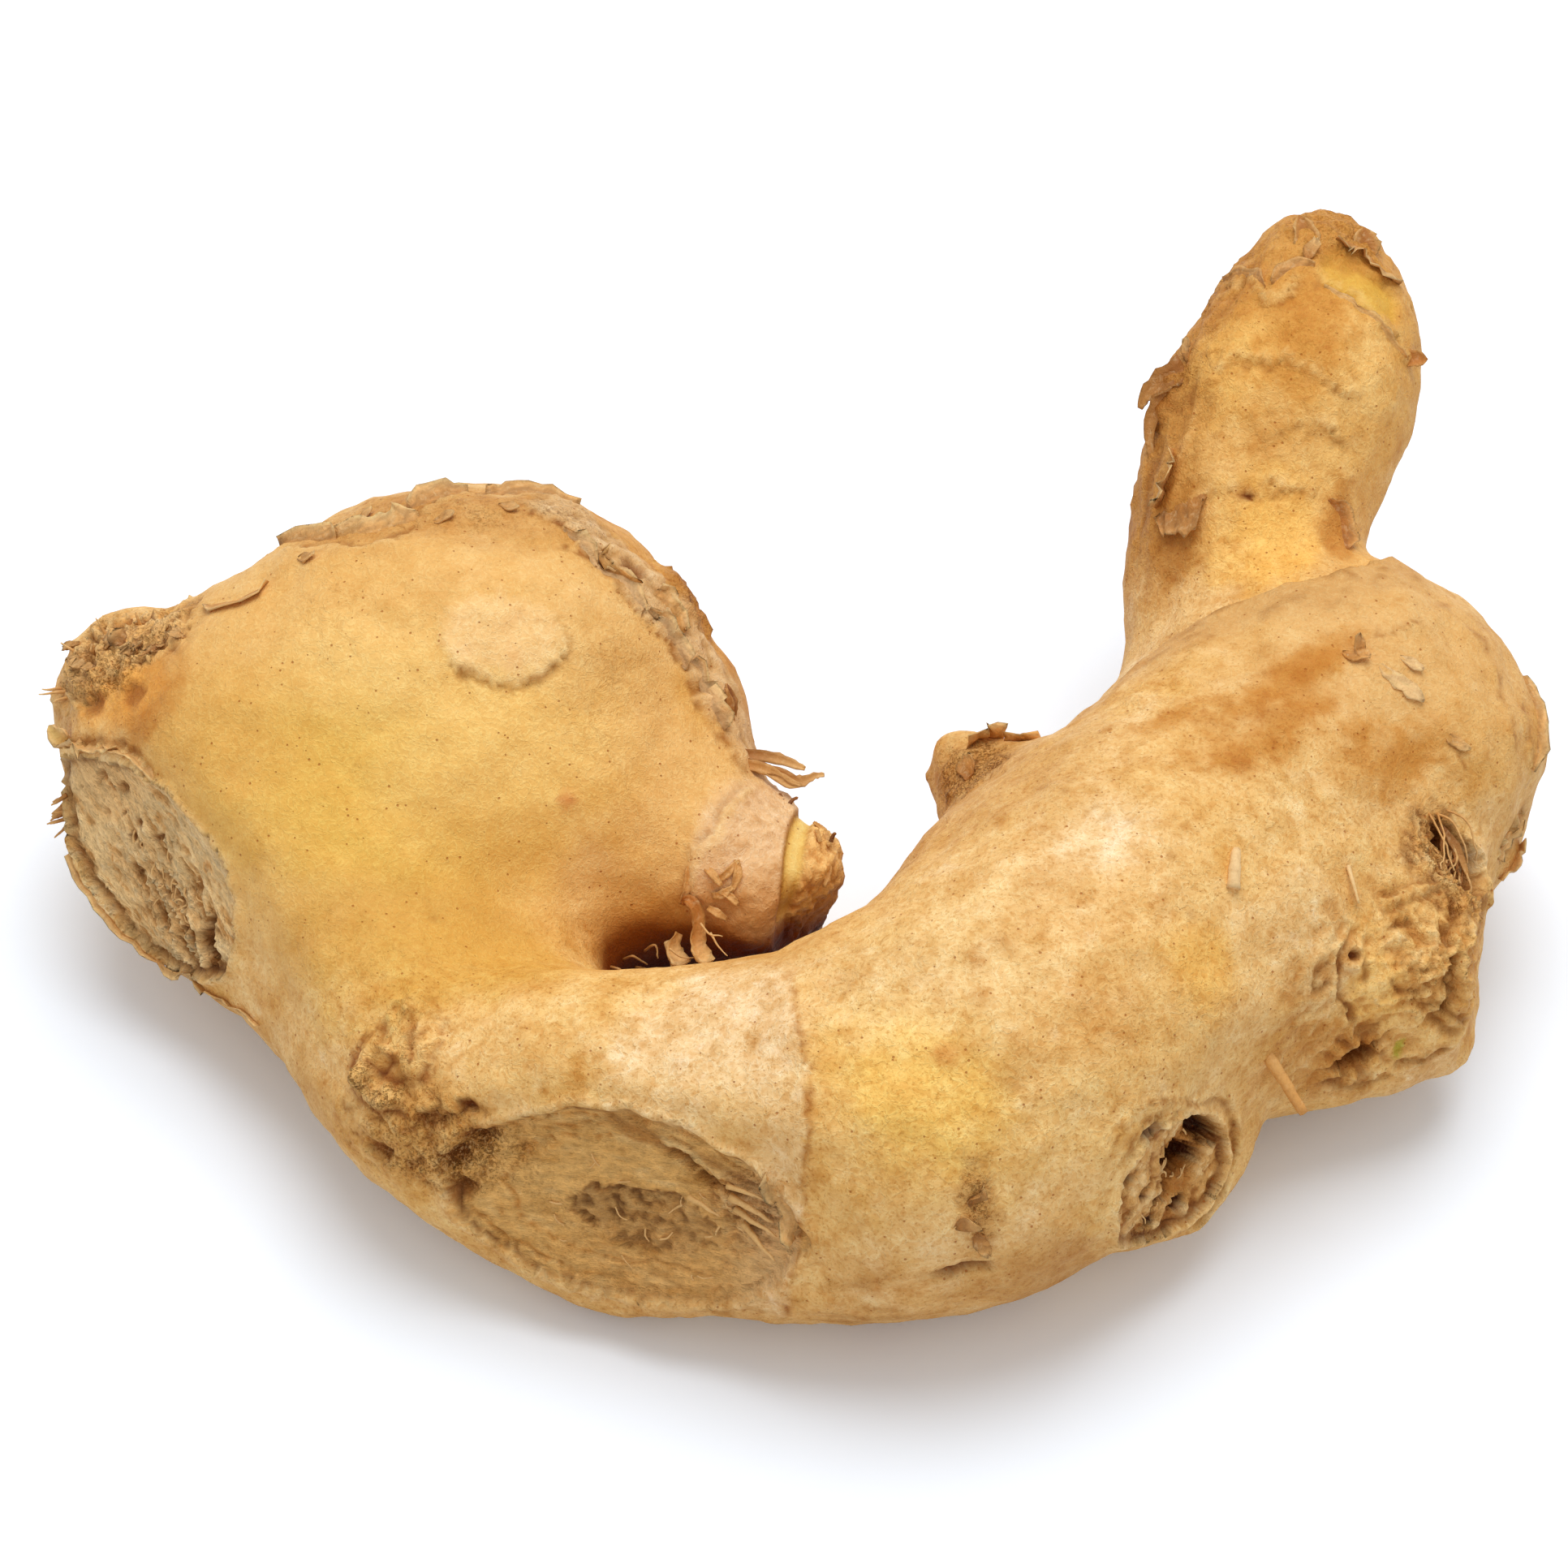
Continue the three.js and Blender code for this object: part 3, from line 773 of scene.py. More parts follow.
    # Left of the face the skin is crumbled to brown.
    crumbs = skin.patch((-29, -36, 16), 7, 4.2, (0.9, -0.35, 0.25), 0.5, 0.3, 1.3, seed=67)
    skin.paint(crumbs, (210, 146, 72), 0.8)
    grit = skin.mottle(crumbs, 1.4, 78, 4, 0.7)
    # Painted shade where the grit sinks the skin and a painted highlight where it stands.
    skin.shade(crumbs, grit, (0.1, 0.35, (134, 78, 32), 0.7), (-0.1, -0.35, (242, 192, 120), 0.6))
    skin.bark += 0.9 * crumbs
    skin.lift -= 1.0 * crumbs * grit
    skin.hollow((-25.8, -36.2, 19.8), 0.9, 0.8, 0.5, dark=1, wobble=0.3, seed=77)
    for i, spot in enumerate(
        [(-27, -37.5, 15), (-25, -37.4, 17.4), (-26.5, -38.5, 12.2), (-33, -35.3, 13.6), (-28.5, -36, 18)]
    ):
        skin.hollow(spot, 1.3, 0.8, 0.8, (1, 0, 0.3), 0.65, 0.4, seed=480 + i)
    # Corky crust above that: thick folded crumbs, their tops lightened with a painted highlight and their
    # sides darkened with painted shade.
    lines = [
        [(-31, -26.5, 22), (-29.5, -28.5, 22), (-29, -31, 21.5), (-30, -32.5, 20.5), (-31, -33, 19.5)],
        [(-31.8, -28, 21.2), (-31, -30, 21), (-31.4, -31.8, 20)],
        [(-32, -30, 20.5), (-33.5, -31, 19), (-34.5, -31.5, 17.5)],
        [(-34.5, -31, 18), (-33, -33, 18), (-30.5, -34.5, 18.5)],
    ]
    for i, line in enumerate(lines):
        reach, along = skin.stroke(line, 0.5, 1.2, 70 + i)
        off = np.abs(reach)
        crust = peak(np.clip(off, 0.5, None), 0.5, 0.5) * span(along, 0.1, 0.9)
        skin.lift += crust * (0.8 + 0.5 * skin.mottle(crust, 1.0, 72 + i))
        # Painted highlight on the crust's top, then painted shade along its sides.
        skin.paint(crust, (240, 182, 104), 0.7)
        skin.darken(peak(off, 1.35, 0.3) * span(along, 0.1, 0.9) * 0.8, (0.6, 0.42, 0.26))
        skin.bark += 0.6 * crust
    # The skin below the face, streaked along the arm.
    low = skin.patch((0, -47, 9), 27, 7, (1, 0, 0), 0.5, 0.15, seed=75)
    streak = skin.mottle(low, (9, 0.9, 0.9), 76, 3, 0.6)
    skin.lift += 0.14 * low * streak
    skin.paint(low, (224, 168, 100), 0.6)
    skin.paint(low * ramp(streak, 0.05, 0.5), (180, 122, 58), 0.6)


def arm(skin):
    """The long arm at the front and right, smooth and mottled, with one seam across it."""
    patches = [
        ((-7, -34, 28), 9, 7, (1, 0, 0), (250, 210, 156), 0.8),
        ((-16, -29, 24.5), 7, 4, (1, 0.2, 0), (246, 198, 122), 0.5),
        ((9, -41.5, 27.5), 9, 5.5, (0.5, -0.2, -0.5), (251, 196, 98), 0.8),
        ((-27, -23, 21), 10, 6, (1, 0.1, 0), (222, 166, 78), 0.85),
        ((-24, -31, 21), 5, 3.5, (1, 0, 0), (250, 202, 132), 0.6),
        ((21, -45, 12), 8, 5, (1, 0.3, 0), (194, 136, 72), 0.7),
        ((12, -32, 32), 10, 7, (0.8, 0.3, 0), (246, 204, 140), 0.7),
        ((22.5, -26, 33.5), 7, 4.5, (0.7, 0.6, 0), (240, 188, 120), 0.6),
        ((23, -21, 34), 5, 3, (0.7, 0.6, 0), (250, 212, 158), 0.7),
        ((39, -23, 26.5), 5, 3.4, (0.3, 0.5, 0.8), (250, 204, 138), 0.75),
        ((31, -30, 29), 4, 3, (0.2, -0.2, 1), (236, 174, 84), 0.7),
        ((18, -42, 24), 6, 4, (1, 0.3, 0), (246, 196, 120), 0.6),
        ((21, -36, 29.5), 5, 3, (0.8, 0.6, 0), (222, 160, 88), 0.5),
    ]
    for i, (spot, reach, across, way, colour, strength) in enumerate(patches):
        skin.dab(colour, strength, spot, reach, across, way, 0.5, 0.2, seed=80 + i)
    across_arm = [
        (-1.5, -29, 28.5), (-0.7, -32.5, 28.7), (0, -37.5, 28.5), (0.5, -41.5, 27.5), (0.5, -43.7, 25),
        (0, -45, 21.5), (-0.3, -46.5, 16), (-1, -47.5, 10), (-1.5, -46.5, 5),
    ]
    signed, along = skin.stroke(across_arm, 0.35, seed=91)
    reach = span(along, 0.1, 0.85) * (np.abs(signed) < 9)
    skin.paint(reach * ramp(signed, -0.1, 0.3) * ramp(signed, 7, 2), (252, 214, 166), 0.35)
    skin.paint(reach * ramp(signed, -0.1, -0.4) * ramp(signed, -5, -1), (246, 190, 108), 0.3)
    skin.seam(across_arm, 0.3, 0.8, 0.7, 0.3, 91)
    skin.darken(0.3 * reach * peak(signed, -0.3, 0.3), (0.8, 0.62, 0.44))
    skin.ledge([(-3, -43.3, 21.5), (-1.3, -45, 18), (0, -46, 15)], 0.6, 0.9, 0.3, 0.8, 0.25, 92)
    # An eye where a bud once was, and smaller marks.
    eye = skin.patch((10.9, -40, 30.1), 1.1, 0.8, edge=0.5, seed=93)
    skin.lift += 0.4 * eye - 0.3 * skin.patch((10.9, -40, 30.1), 0.4, edge=0.5)
    skin.paint(eye, (208, 134, 62), 0.7)
    skin.hollow((12.4, -48.4, 14.9), 2.4, 0.9, 0.7, (1, 0, 0), 1.0, 0.15, seed=94)
    crust = skin.patch((13.4, -47, 21), 3.8, 1.4, (0.1, -0.3, -1), 0.45, 0.35, 1, seed=95)
    skin.lift += 0.7 * crust * skin.mottle(crust, 0.9, 96)
    skin.paint(crust, (200, 140, 72), 0.75)
    skin.bark += crust
    for i, spot in enumerate(
        [(15.5, -31, 32.5), (13.5, -32.5, 32.3), (13.8, -35.5, 31.5), (-2.5, -31, 28.7)]
    ):
        mark = skin.patch(spot, 1.1, 0.7, (0.5, -0.5, 0), 0.5, 0.3, seed=97 + i)
        skin.lift += 0.25 * mark
        skin.paint(mark, (204, 140, 70), 0.7)
    # Fine seams round the arm further right, and the scaly edge behind it.
    seams = [
        [
            (18, -13, 31.5), (20.5, -15.5, 33), (22.5, -17.5, 34), (25, -19.5, 34), (28, -21.5, 34),
            (30.5, -28.4, 30.5),
        ],
        [(29.5, -12, 33.5), (31.5, -13, 33.5), (33.5, -13, 33), (36.5, -13, 32.5)],
        [(10, -21, 29), (13, -25, 31.5), (15, -30, 32.5)],
    ]
    for i, line in enumerate(seams):
        skin.seam(line, 0.15, 0.8, 0.55, 0.3, 101 + i)
    edge = skin.patch((16, -8, 24), 16, 4, (0.65, 0.7, 0), 0.5, 0.2, seed=104)
    skin.paint(edge, (214, 158, 92), 0.6)
    skin.bark += 0.3 * edge


def stub(skin):
    """A short broken side shoot: a pale round face with a rotted core, rings round it and a thin rim. Its
    holes and grooves are darkened with painted shade, and its rim lightened with a painted highlight.
    """
    out = (0.79, -0.6, 0.11)
    around = skin.patch((27.5, -39.5, 16), 7.5, edge=0.35, wobble=0.1, seed=110)
    skin.paint(around, (250, 206, 136), 0.75)
    rings = skin.swirl(around, (29.5, -37.5, 14.5), out, 111, 1.0, 2.0, 0.7)
    skin.lift += around * 0.4 * (rings - 0.45)
    # Painted shade in the grooves between the rings.
    skin.paint(around * ramp(rings, 0.45, 0.2), (196, 138, 72), 0.5)
    rim = [
        (31, -35, 18), (32.5, -34, 15.5), (33.2, -33.5, 13), (33.6, -34, 10.5), (32.6, -36, 8.6),
        (30.5, -38.2, 8.6), (28, -40.5, 9.2), (25, -43, 11.6), (24, -43.8, 15), (24.8, -42, 19),
        (26.5, -40.2, 20.5), (29, -37.2, 20),
    ]
    signed = skin.inside(rim, out, 0.2, 2, 112)
    face = ramp(signed, -0.1, 0.5)
    skin.paint(face, (214, 156, 88), 0.75)
    skin.lift -= 0.35 * face
    skin.felt *= 1 - face
    grit = skin.mottle(face, 1.5, 109, 3, 0.65)
    skin.lift += 0.5 * face * grit
    # Painted highlight where the grit stands, painted shade where it sinks.
    skin.shade(face, grit, (0.05, 0.3, (252, 212, 150), 0.8), (-0.08, -0.35, (150, 88, 34), 0.8))
    core = skin.patch((30.4, -36.8, 14), 3.6, 2.6, (0.2, 0.3, 1), 0.3, 0.25, 1.4, seed=113)
    skin.paint(core, (176, 108, 42), 0.75)
    skin.lift -= 0.5 * core
    skin.bark += 0.6 * face
    holes = [
        ((31.6, -34.9, 15.5), 1.4, 2.4, 0.8, (0.6, 0.4, -0.9)),
        ((32.3, -34.3, 14), 1.0, 2.2, 0.7, (0.6, 0.4, -0.9)),
        ((30.2, -37, 13.9), 2.0, 3.2, 1.2, (0.6, 0.6, -0.5)),
        ((28.9, -38.2, 15.6), 1.0, 1.8, 0.7, (0.6, 0.6, -0.5)),
        ((31.3, -35.7, 12.9), 0.8, 1.8, 0.6, (0.6, 0.6, -0.5)),
        ((29, -38.6, 12.4), 0.75, 1.3, 0.55, (1, 0.6, 0)),
        ((28, -39.8, 12.8), 0.65, 1.1, 0.5, (1, 0.6, 0)),
        ((30, -38, 10.2), 0.9, 1.4, 0.6, (1, 0.6, 0)),
        ((27.6, -40.8, 11), 0.6, 0.9, 0.5, (1, 0.6, 0)),
        ((27.2, -40, 21.2), 1.1, 0.9, 0.6, (1, 0.6, -0.3)),
        ((25.4, -42, 17.6), 0.8, 0.7, 0.5, (1, 0.6, 0)),
        ((26.6, -41, 15), 1.2, 0.8, 0.4, (0.6, 0.6, 1)),
    ]
    for i, (spot, reach, depth, across, way) in enumerate(holes):
        hole = skin.hollow(spot, reach, depth, across, way, 0.8, 0.35, seed=115 + i)
        # Painted shade, nearly black, deep in each hole.
        skin.paint(ramp(hole, 0.25, 0.65), (64, 24, 5), 0.95)
    edge = peak(signed, -0.3, 0.35)
    skin.lift += 0.5 * edge
    # A painted highlight on the raised rim and painted shade just inside it.
    skin.paint(edge, (250, 206, 142), 0.6)
    skin.darken(0.7 * peak(signed, 0.35, 0.25), (0.5, 0.36, 0.22))
    outer = [
        (31, -35, 19.6), (33.2, -33, 17), (34.2, -32.6, 13.5), (34.2, -33, 10), (32.6, -35.6, 7.4),
        (29.5, -38.8, 7),
    ]
    skin.ledge(outer[::-1], 0.5, 1.2, 0.7, 0.6, 0.2, 126)
    arcs = [
        [
            (24, -42.5, 21.6), (24.5, -41.5, 23), (25.5, -40.5, 24), (27, -39.5, 23.5), (29, -37.5, 21.6),
            (31, -35.3, 18.6),
        ],
        [(25, -42, 20.4), (25.6, -41, 22), (27.4, -39.4, 22), (29, -37.5, 20.6)],
        [(23, -43.6, 21), (23.2, -42.5, 23.4), (24.5, -41, 25), (26.6, -39.6, 25)],
    ]
    for i, line in enumerate(arcs):
        skin.seam(line, 0.45, 0.5, 1.0, 0.2, 128 + i)


def knob(skin):
    """The young end at the right: a smooth panel, and folds drawn together round the scar of an old bud."""
    area = skin.patch((48.5, -22.5, 18), 9.5, 8, (1, 0.2, 0.2), 0.3, 0.1, seed=130)
    core = skin.patch((50.3, -20.8, 20), 5.6, 4.4, (0.3, -0.2, 1), 0.3, 0.14, seed=134)
    skin.felt *= 1 - 0.3 * area
    skin.paint(area, (244, 192, 116), 0.75)
    side = skin.patch((54.5, -17.5, 16), 8, 3.5, (0.2, 0.2, 1), 0.4, 0.1, seed=133)
    skin.paint(side, (214, 150, 74), 0.7)
    panel = skin.patch((40.5, -24.5, 26), 6.5, 4.4, (0.4, -0.5, -0.8), 0.25, 0.12, seed=132)
    skin.paint(panel, (228, 180, 116), 0.8)
    skin.lift += 0.4 * panel
    low = skin.patch((42, -27.5, 15.5), 5.5, 4, (1, 0, 0), 0.4, 0.15, seed=137)
    skin.paint(low, (206, 142, 70), 0.75)
    soft = skin.patch((45.5, -24.5, 20), 3.2, 2.8, (0.2, 0, 1), 0.35, 0.15, seed=135)
    skin.paint(soft, (244, 186, 100), 0.75)

    # Folds like those of a drawn-together cloth.
    wrinkles = skin.swirl(core, (51, -21.5, 20.2), (0.3, -0.8, 0.5), 131, 1.25, 1.5, 0.9)
    skin.lift += core * 0.75 * (wrinkles - 0.5)
    skin.lift -= 1.2 * skin.patch((54.3, -22.6, 9), 4, 3, edge=0.8)
    # Painted shade in the folds and a painted highlight on the crests.
    skin.shade(core, wrinkles, (0.42, 0.15, (184, 114, 48), 0.45), (0.48, 0.8, (250, 200, 126), 0.8))
    skin.bark += 0.3 * core + 0.15 * area
    whole = skin.patch((45, -24, 18), 12, 9, (1, 0.2, 0), 0.3, 0.1, seed=138)
    fine = skin.noise_on(whole, ridged, skin.places, (2.6, 2.6, 1.7), 139, 3)
    skin.lift += 0.65 * whole * (fine - 0.5)
    # Painted shade in the low fine wrinkles.
    skin.paint(whole * ramp(fine, 0.42, 0.22), (184, 116, 50), 0.45)
    skin.dab((240, 196, 140), 0.6, (51.5, -23.5, 9.5), 4, 3, edge=0.5, seed=129)
    # Painted highlight on the high fine wrinkles.
    skin.paint(whole * ramp(fine, 0.62, 0.85), (252, 210, 146), 0.4)
    folds = [
        (
            [
                (52.5, -16.5, 23.3), (52.5, -17.5, 23), (52, -19, 22.5), (51.5, -20, 22.5),
                (52, -21.5, 21.5),
            ],
            1.3, 0.5,
        ),
        (
            [(52, -21.5, 21.5), (52.5, -22, 20.5), (52, -23, 19), (52, -23, 17.5), (51, -23.5, 16)], 1.3,
            0.55,
        ),
        (
            [(54, -16, 21), (55, -14.5, 18.5), (55.5, -14.5, 14.5), (55, -17.5, 13), (53.5, -21.5, 14.5)],
            0.9, 0.5,
        ),
        ([(46, -20, 24.5), (47.5, -18.8, 24), (49.5, -17.3, 23.5), (52, -16.2, 23)], 0.5, 0.35),
        ([(46.3, -21, 23.7), (48, -20, 23.5), (50.5, -19.3, 23), (51.3, -19.8, 22.6)], 0.45, 0.35),
        ([(46, -22, 23), (47, -21.6, 22.2), (48.5, -20.6, 22.7), (50, -20.9, 21.6)], 0.45, 0.35),
        ([(47.5, -22.5, 22), (48.3, -22.7, 20.8), (49.6, -22.3, 20.6), (50.4, -22, 21.4)], 0.4, 0.3),
        ([(46.4, -23.5, 20.9), (47.5, -23.8, 19.4), (49, -23.6, 19), (50, -23.3, 19.6)], 0.4, 0.3),
        ([(48.5, -23.6, 18.6), (49.7, -23.5, 17.4), (51.4, -23.1, 17.7)], 0.5, 0.35),
        ([(50, -23.5, 17), (51.5, -23.5, 14.8), (53.5, -23, 13.2)], 0.8, 0.45),
        ([(50.8, -23.3, 17), (53, -22.8, 15), (54, -21.8, 13.4)], 0.7, 0.4),
        ([(47.5, -25, 11.5), (50, -24.4, 11.7), (52.5, -23.6, 12)], 0.5, 0.4),
        (
            [
                (41.5, -24.5, 24), (40.3, -25.8, 23.5), (40, -26.5, 22.8), (40.6, -26.2, 22.3),
                (41.5, -25.5, 22.5),
            ],
            0.5, 0.35,
        ),
        ([(44, -23.5, 22.5), (44.6, -24, 21.7), (44.5, -24.6, 21)], 0.4, 0.35),
        ([(41.5, -27, 12.8), (44.5, -25.8, 10.2), (48, -25.2, 10.6)], 0.4, 0.4),
    ]
    for i, (line, depth, width) in enumerate(folds):
        skin.fold(line, 0.85 * depth, width, 0.6, 0.25, 400 + i)
    skin.ledge(
        [
            (43, -22.8, 24.3), (42, -24, 24), (42, -25, 23), (42, -25.6, 21), (43.3, -25.8, 19),
            (44, -26, 17),
        ],
        0.5, 2.4, 1, 0.4, 0.35, 136,
    )

    # The pit, drawn in by folds that run to its middle; the folds and the pit are darkened with painted
    # shade.
    middle = np.array((44.3, -25.9, 13.9))
    offset = skin.places - middle
    turn = np.arctan2(offset[:, 2], offset[:, 0] + 0.3 * offset[:, 1])
    ring = peak(skin.gap_to(middle), 2.1, 1.3416)
    folds = np.cos(turn * 7 + 5 * skin.mottle(ring, 2.4, 140)) * ring
    skin.lift += 0.35 * folds
    # Painted shade in the folds round the pit.
    skin.darken(np.clip(-folds, 0, 1) * 0.6, (0.6, 0.48, 0.36))
    pit = skin.hollow(middle, 1.5, 2.2, 0.9, (1, 0.2, 0.15), 1.0, 0.3, seed=141)
    # Painted shade deep in the pit.
    skin.paint(pit, (104, 50, 14), 0.9)
    bore = (43.5, -23.5, 23.3)
    skin.hollow(bore, 0.5, 0.8, 0.4, dark=1, wobble=0.05, seed=142)
    skin.lift += 0.25 * peak(skin.gap_to(bore), 0.85, 0.35)
    skin.hollow((46, -25.3, 16.8), 0.5, 0.6, 0.35, dark=0.8, seed=143)
    skin.dab((170, 166, 48), 0.7, (48, -24.6, 13.3), 1.0, 0.45, (0.3, 0, 1), 0.5, 0.3)
    skin.ledge([(46, -19, 25), (49, -16.8, 24.2), (51.5, -15.5, 23)], 0.35, 1.4, 0.6, 0.3, 0.4, 144)


def notch(skin):
    """The notch between the knob and the lobe, darkened with painted shade, crossed by torn skins."""
    rim = [
        (51, -9.3, 24.8), (52.5, -9.3, 23.7), (53.6, -9.8, 22.6), (55, -10.5, 20.7), (55.2, -12.5, 19.8),
        (54.2, -15.3, 21.2), (52.5, -14.5, 22.5), (52, -12.5, 23), (51, -11.5, 23.7),
    ]
    signed = skin.inside(rim, (0.6, -0.6, 0.5), 0.3, 1.2, 170)
    hole = ramp(signed, -0.1, 0.7)
    skin.lift -= 2.6 * hole
    # Painted shade in the deep hole.
    skin.paint(hole, (124, 62, 20), 0.95)
    around = skin.patch((52, -13.5, 22.8), 4.8, 3.4, (0.6, -0.7, -0.3), 0.4, 0.25, 1.5, seed=171)
    skin.paint(around * (1 - hole), (206, 142, 72), 0.7)
    skin.bark += 0.9 * around
    torn = ridged(skin.places @ NOTCH_AXES, (3.5, 0.8, 0.8), 172, 3) * around
    skin.lift += 1.0 * (torn - 0.4 * around)
    # Painted shade between the torn strips and a painted highlight on them.
    skin.darken(around * ramp(torn, 0.4, 0.15) * 0.8, (0.5, 0.36, 0.24))
    skin.paint(around * ramp(torn, 0.55, 0.85), (238, 184, 112), 0.6)
    skin.ledge(
        [(53.5, -9.4, 23), (55, -10.5, 21), (56, -12.4, 19.4), (56, -14, 18)][::-1], 0.9, 1.4, 0.5, 0.7,
        0.2, 173,
    )
    skin.ledge(
        [(49.5, -9.5, 26), (50.3, -11.5, 25), (50.6, -14.3, 23.8), (52.6, -16, 22.6)], 0.5, 1.6, 0.6, 0.5,
        0.4, 174,
    )
    # Old scale edges low on the right, with a slit between them darkened with painted shade.
    slit = [(57.6, -6.8, 16.5), (58.6, -4.8, 17), (59.6, -2.6, 16.4), (60.4, -0.6, 15)]
    skin.fold(slit, 1.1, 0.7, 1.0, 0.2, 175)
    skin.ledge(
        [(57.2, -7.4, 17.6), (58.4, -5, 18), (59.8, -2.4, 17.2), (60.6, 0, 16)], 0.8, 1.4, 0.5, 0.5, 0.3,
        176,
    )
    skin.ledge(
        [(57.4, -7.2, 14.2), (59, -4.4, 13.8), (60.2, -1.6, 12.6)][::-1], 0.7, 1.4, 0.6, 0.5, 0.3, 177,
    )


def right_lobe(skin):
    """The broad lobe on the right, tan and brushed with brown, its shoulder standing over the finger."""
    skin.dab((224, 172, 106), 0.7, (45, 0, 31), 15, 11, (0.6, 0.6, -0.4), 0.6, 0.2, seed=150)
    skin.dab((226, 170, 98), 0.7, (56, 2, 26), 9, 6, (0.3, 1, 0), 0.5, 0.2, seed=149)
    skin.felt -= 0.25 * skin.patch((48, 3, 29), 15, 12, edge=0.5, seed=151)
    brushes = [
        ((38, -3.5, 33.3), 7.5, 1.5, (0.75, 0.65, 0)),
        ((41, -0.5, 33), 4, 1.3, (0.8, 0.6, 0)),
        ((39.5, -6.5, 32.8), 4.5, 1.5, (0.7, 0.7, 0)),
        ((30, -6.5, 33), 3.5, 1.3, (0.8, 0.5, 0)),
        ((44, -9, 31), 3.5, 2.0, (0.3, 0.6, 0)),
        ((48, -8, 29), 5, 2.2, (0.6, 0.6, 0)),
        ((35, -11, 33.3), 5, 1.4, (0.9, 0.2, 0)),
    ]
    for i, (spot, reach, across, way) in enumerate(brushes):
        skin.dab((194, 122, 46), 0.75, spot, reach, across, way, 0.7, 0.5, 1.4, seed=152 + i)
    skin.dab((244, 196, 126), 0.55, (40, -15, 30.5), 8, 4, (0.6, 0.7, 0), 0.5, 0.2, seed=159)

    # The shoulder, with painted shade at the foot of its step.
    shoulder = [
        (23, -3, 30), (25, 1, 28.5), (27, 4, 27.5), (29.5, 6.2, 27.7), (32, 7.3, 28.7), (35, 8.7, 30.5),
        (38.5, 9.2, 31.5), (41.5, 9.6, 32.4), (44.5, 11, 32.4), (47.5, 13.5, 31.3), (50, 16.5, 28.5),
    ]
    signed, along = skin.stroke(shoulder, 0.2, seed=160)
    reach = ramp(along, 0.08, 0.3) * ramp(along, 1, 0.92)
    skin.lift += reach * 1.0 * ramp(signed, -0.5, 1.0) * np.exp(-np.clip(signed, 0, None) / 4.5)
    skin.lift -= reach * 1.9 * ramp(signed, 0.2, -0.7) * np.exp(np.clip(signed, None, 0) / 3.2)
    # Painted shade at the foot of the shoulder's step.
    skin.darken(reach * 0.75 * peak(signed, -0.5, 0.5), (0.6, 0.46, 0.32))
    band = reach * ramp(signed, -1, 0.5) * ramp(signed, 6, 3)
    lines = skin.mottle(band, (9, 0.7, 0.7), 161, 3, 0.6, CREASE)
    skin.paint(band, (206, 154, 92), 0.6)
    skin.paint(band * ramp(lines, 0.05, 0.4), (170, 114, 58), 0.6)
    skin.lift += 0.18 * band * lines
    skin.felt *= 1 - 0.6 * band

    # Fine raised lines, where scales were, and the edge scales at the far right.
    lines = [
        [(45, 1.5, 33), (48.5, 3.5, 32.5), (51.5, 5.5, 32), (54, 10, 29.5)],
        [(53, 7, 31), (56, 6.5, 29), (57, 2.5, 28), (57.5, 0, 27), (58, -3, 25)],
        [(50.5, -3.5, 29.8), (52.5, -4.8, 28.3), (53.5, -6, 26), (54.5, -7.5, 23.5)],
        [(59.5, 4, 25.5), (59.7, 0.5, 25.3), (60, -1, 21.5), (59, -3.5, 19.5)],
    ]
    for i, line in enumerate(lines):
        skin.seam(line, 0.28, 0.45, 0.7, 0.35, 165 + i)


def back_bump(skin):
    bump = skin.patch((14.5, -1.5, 22), 5, 3.6, (0.2, 0.5, -0.8), 0.4, 0.2, seed=180)
    skin.paint(bump, (182, 118, 52), 0.7)
    skin.bark += 1.1 * bump
    skin.lift += 0.45 * bump * skin.mottle(bump, 1.7, 181)


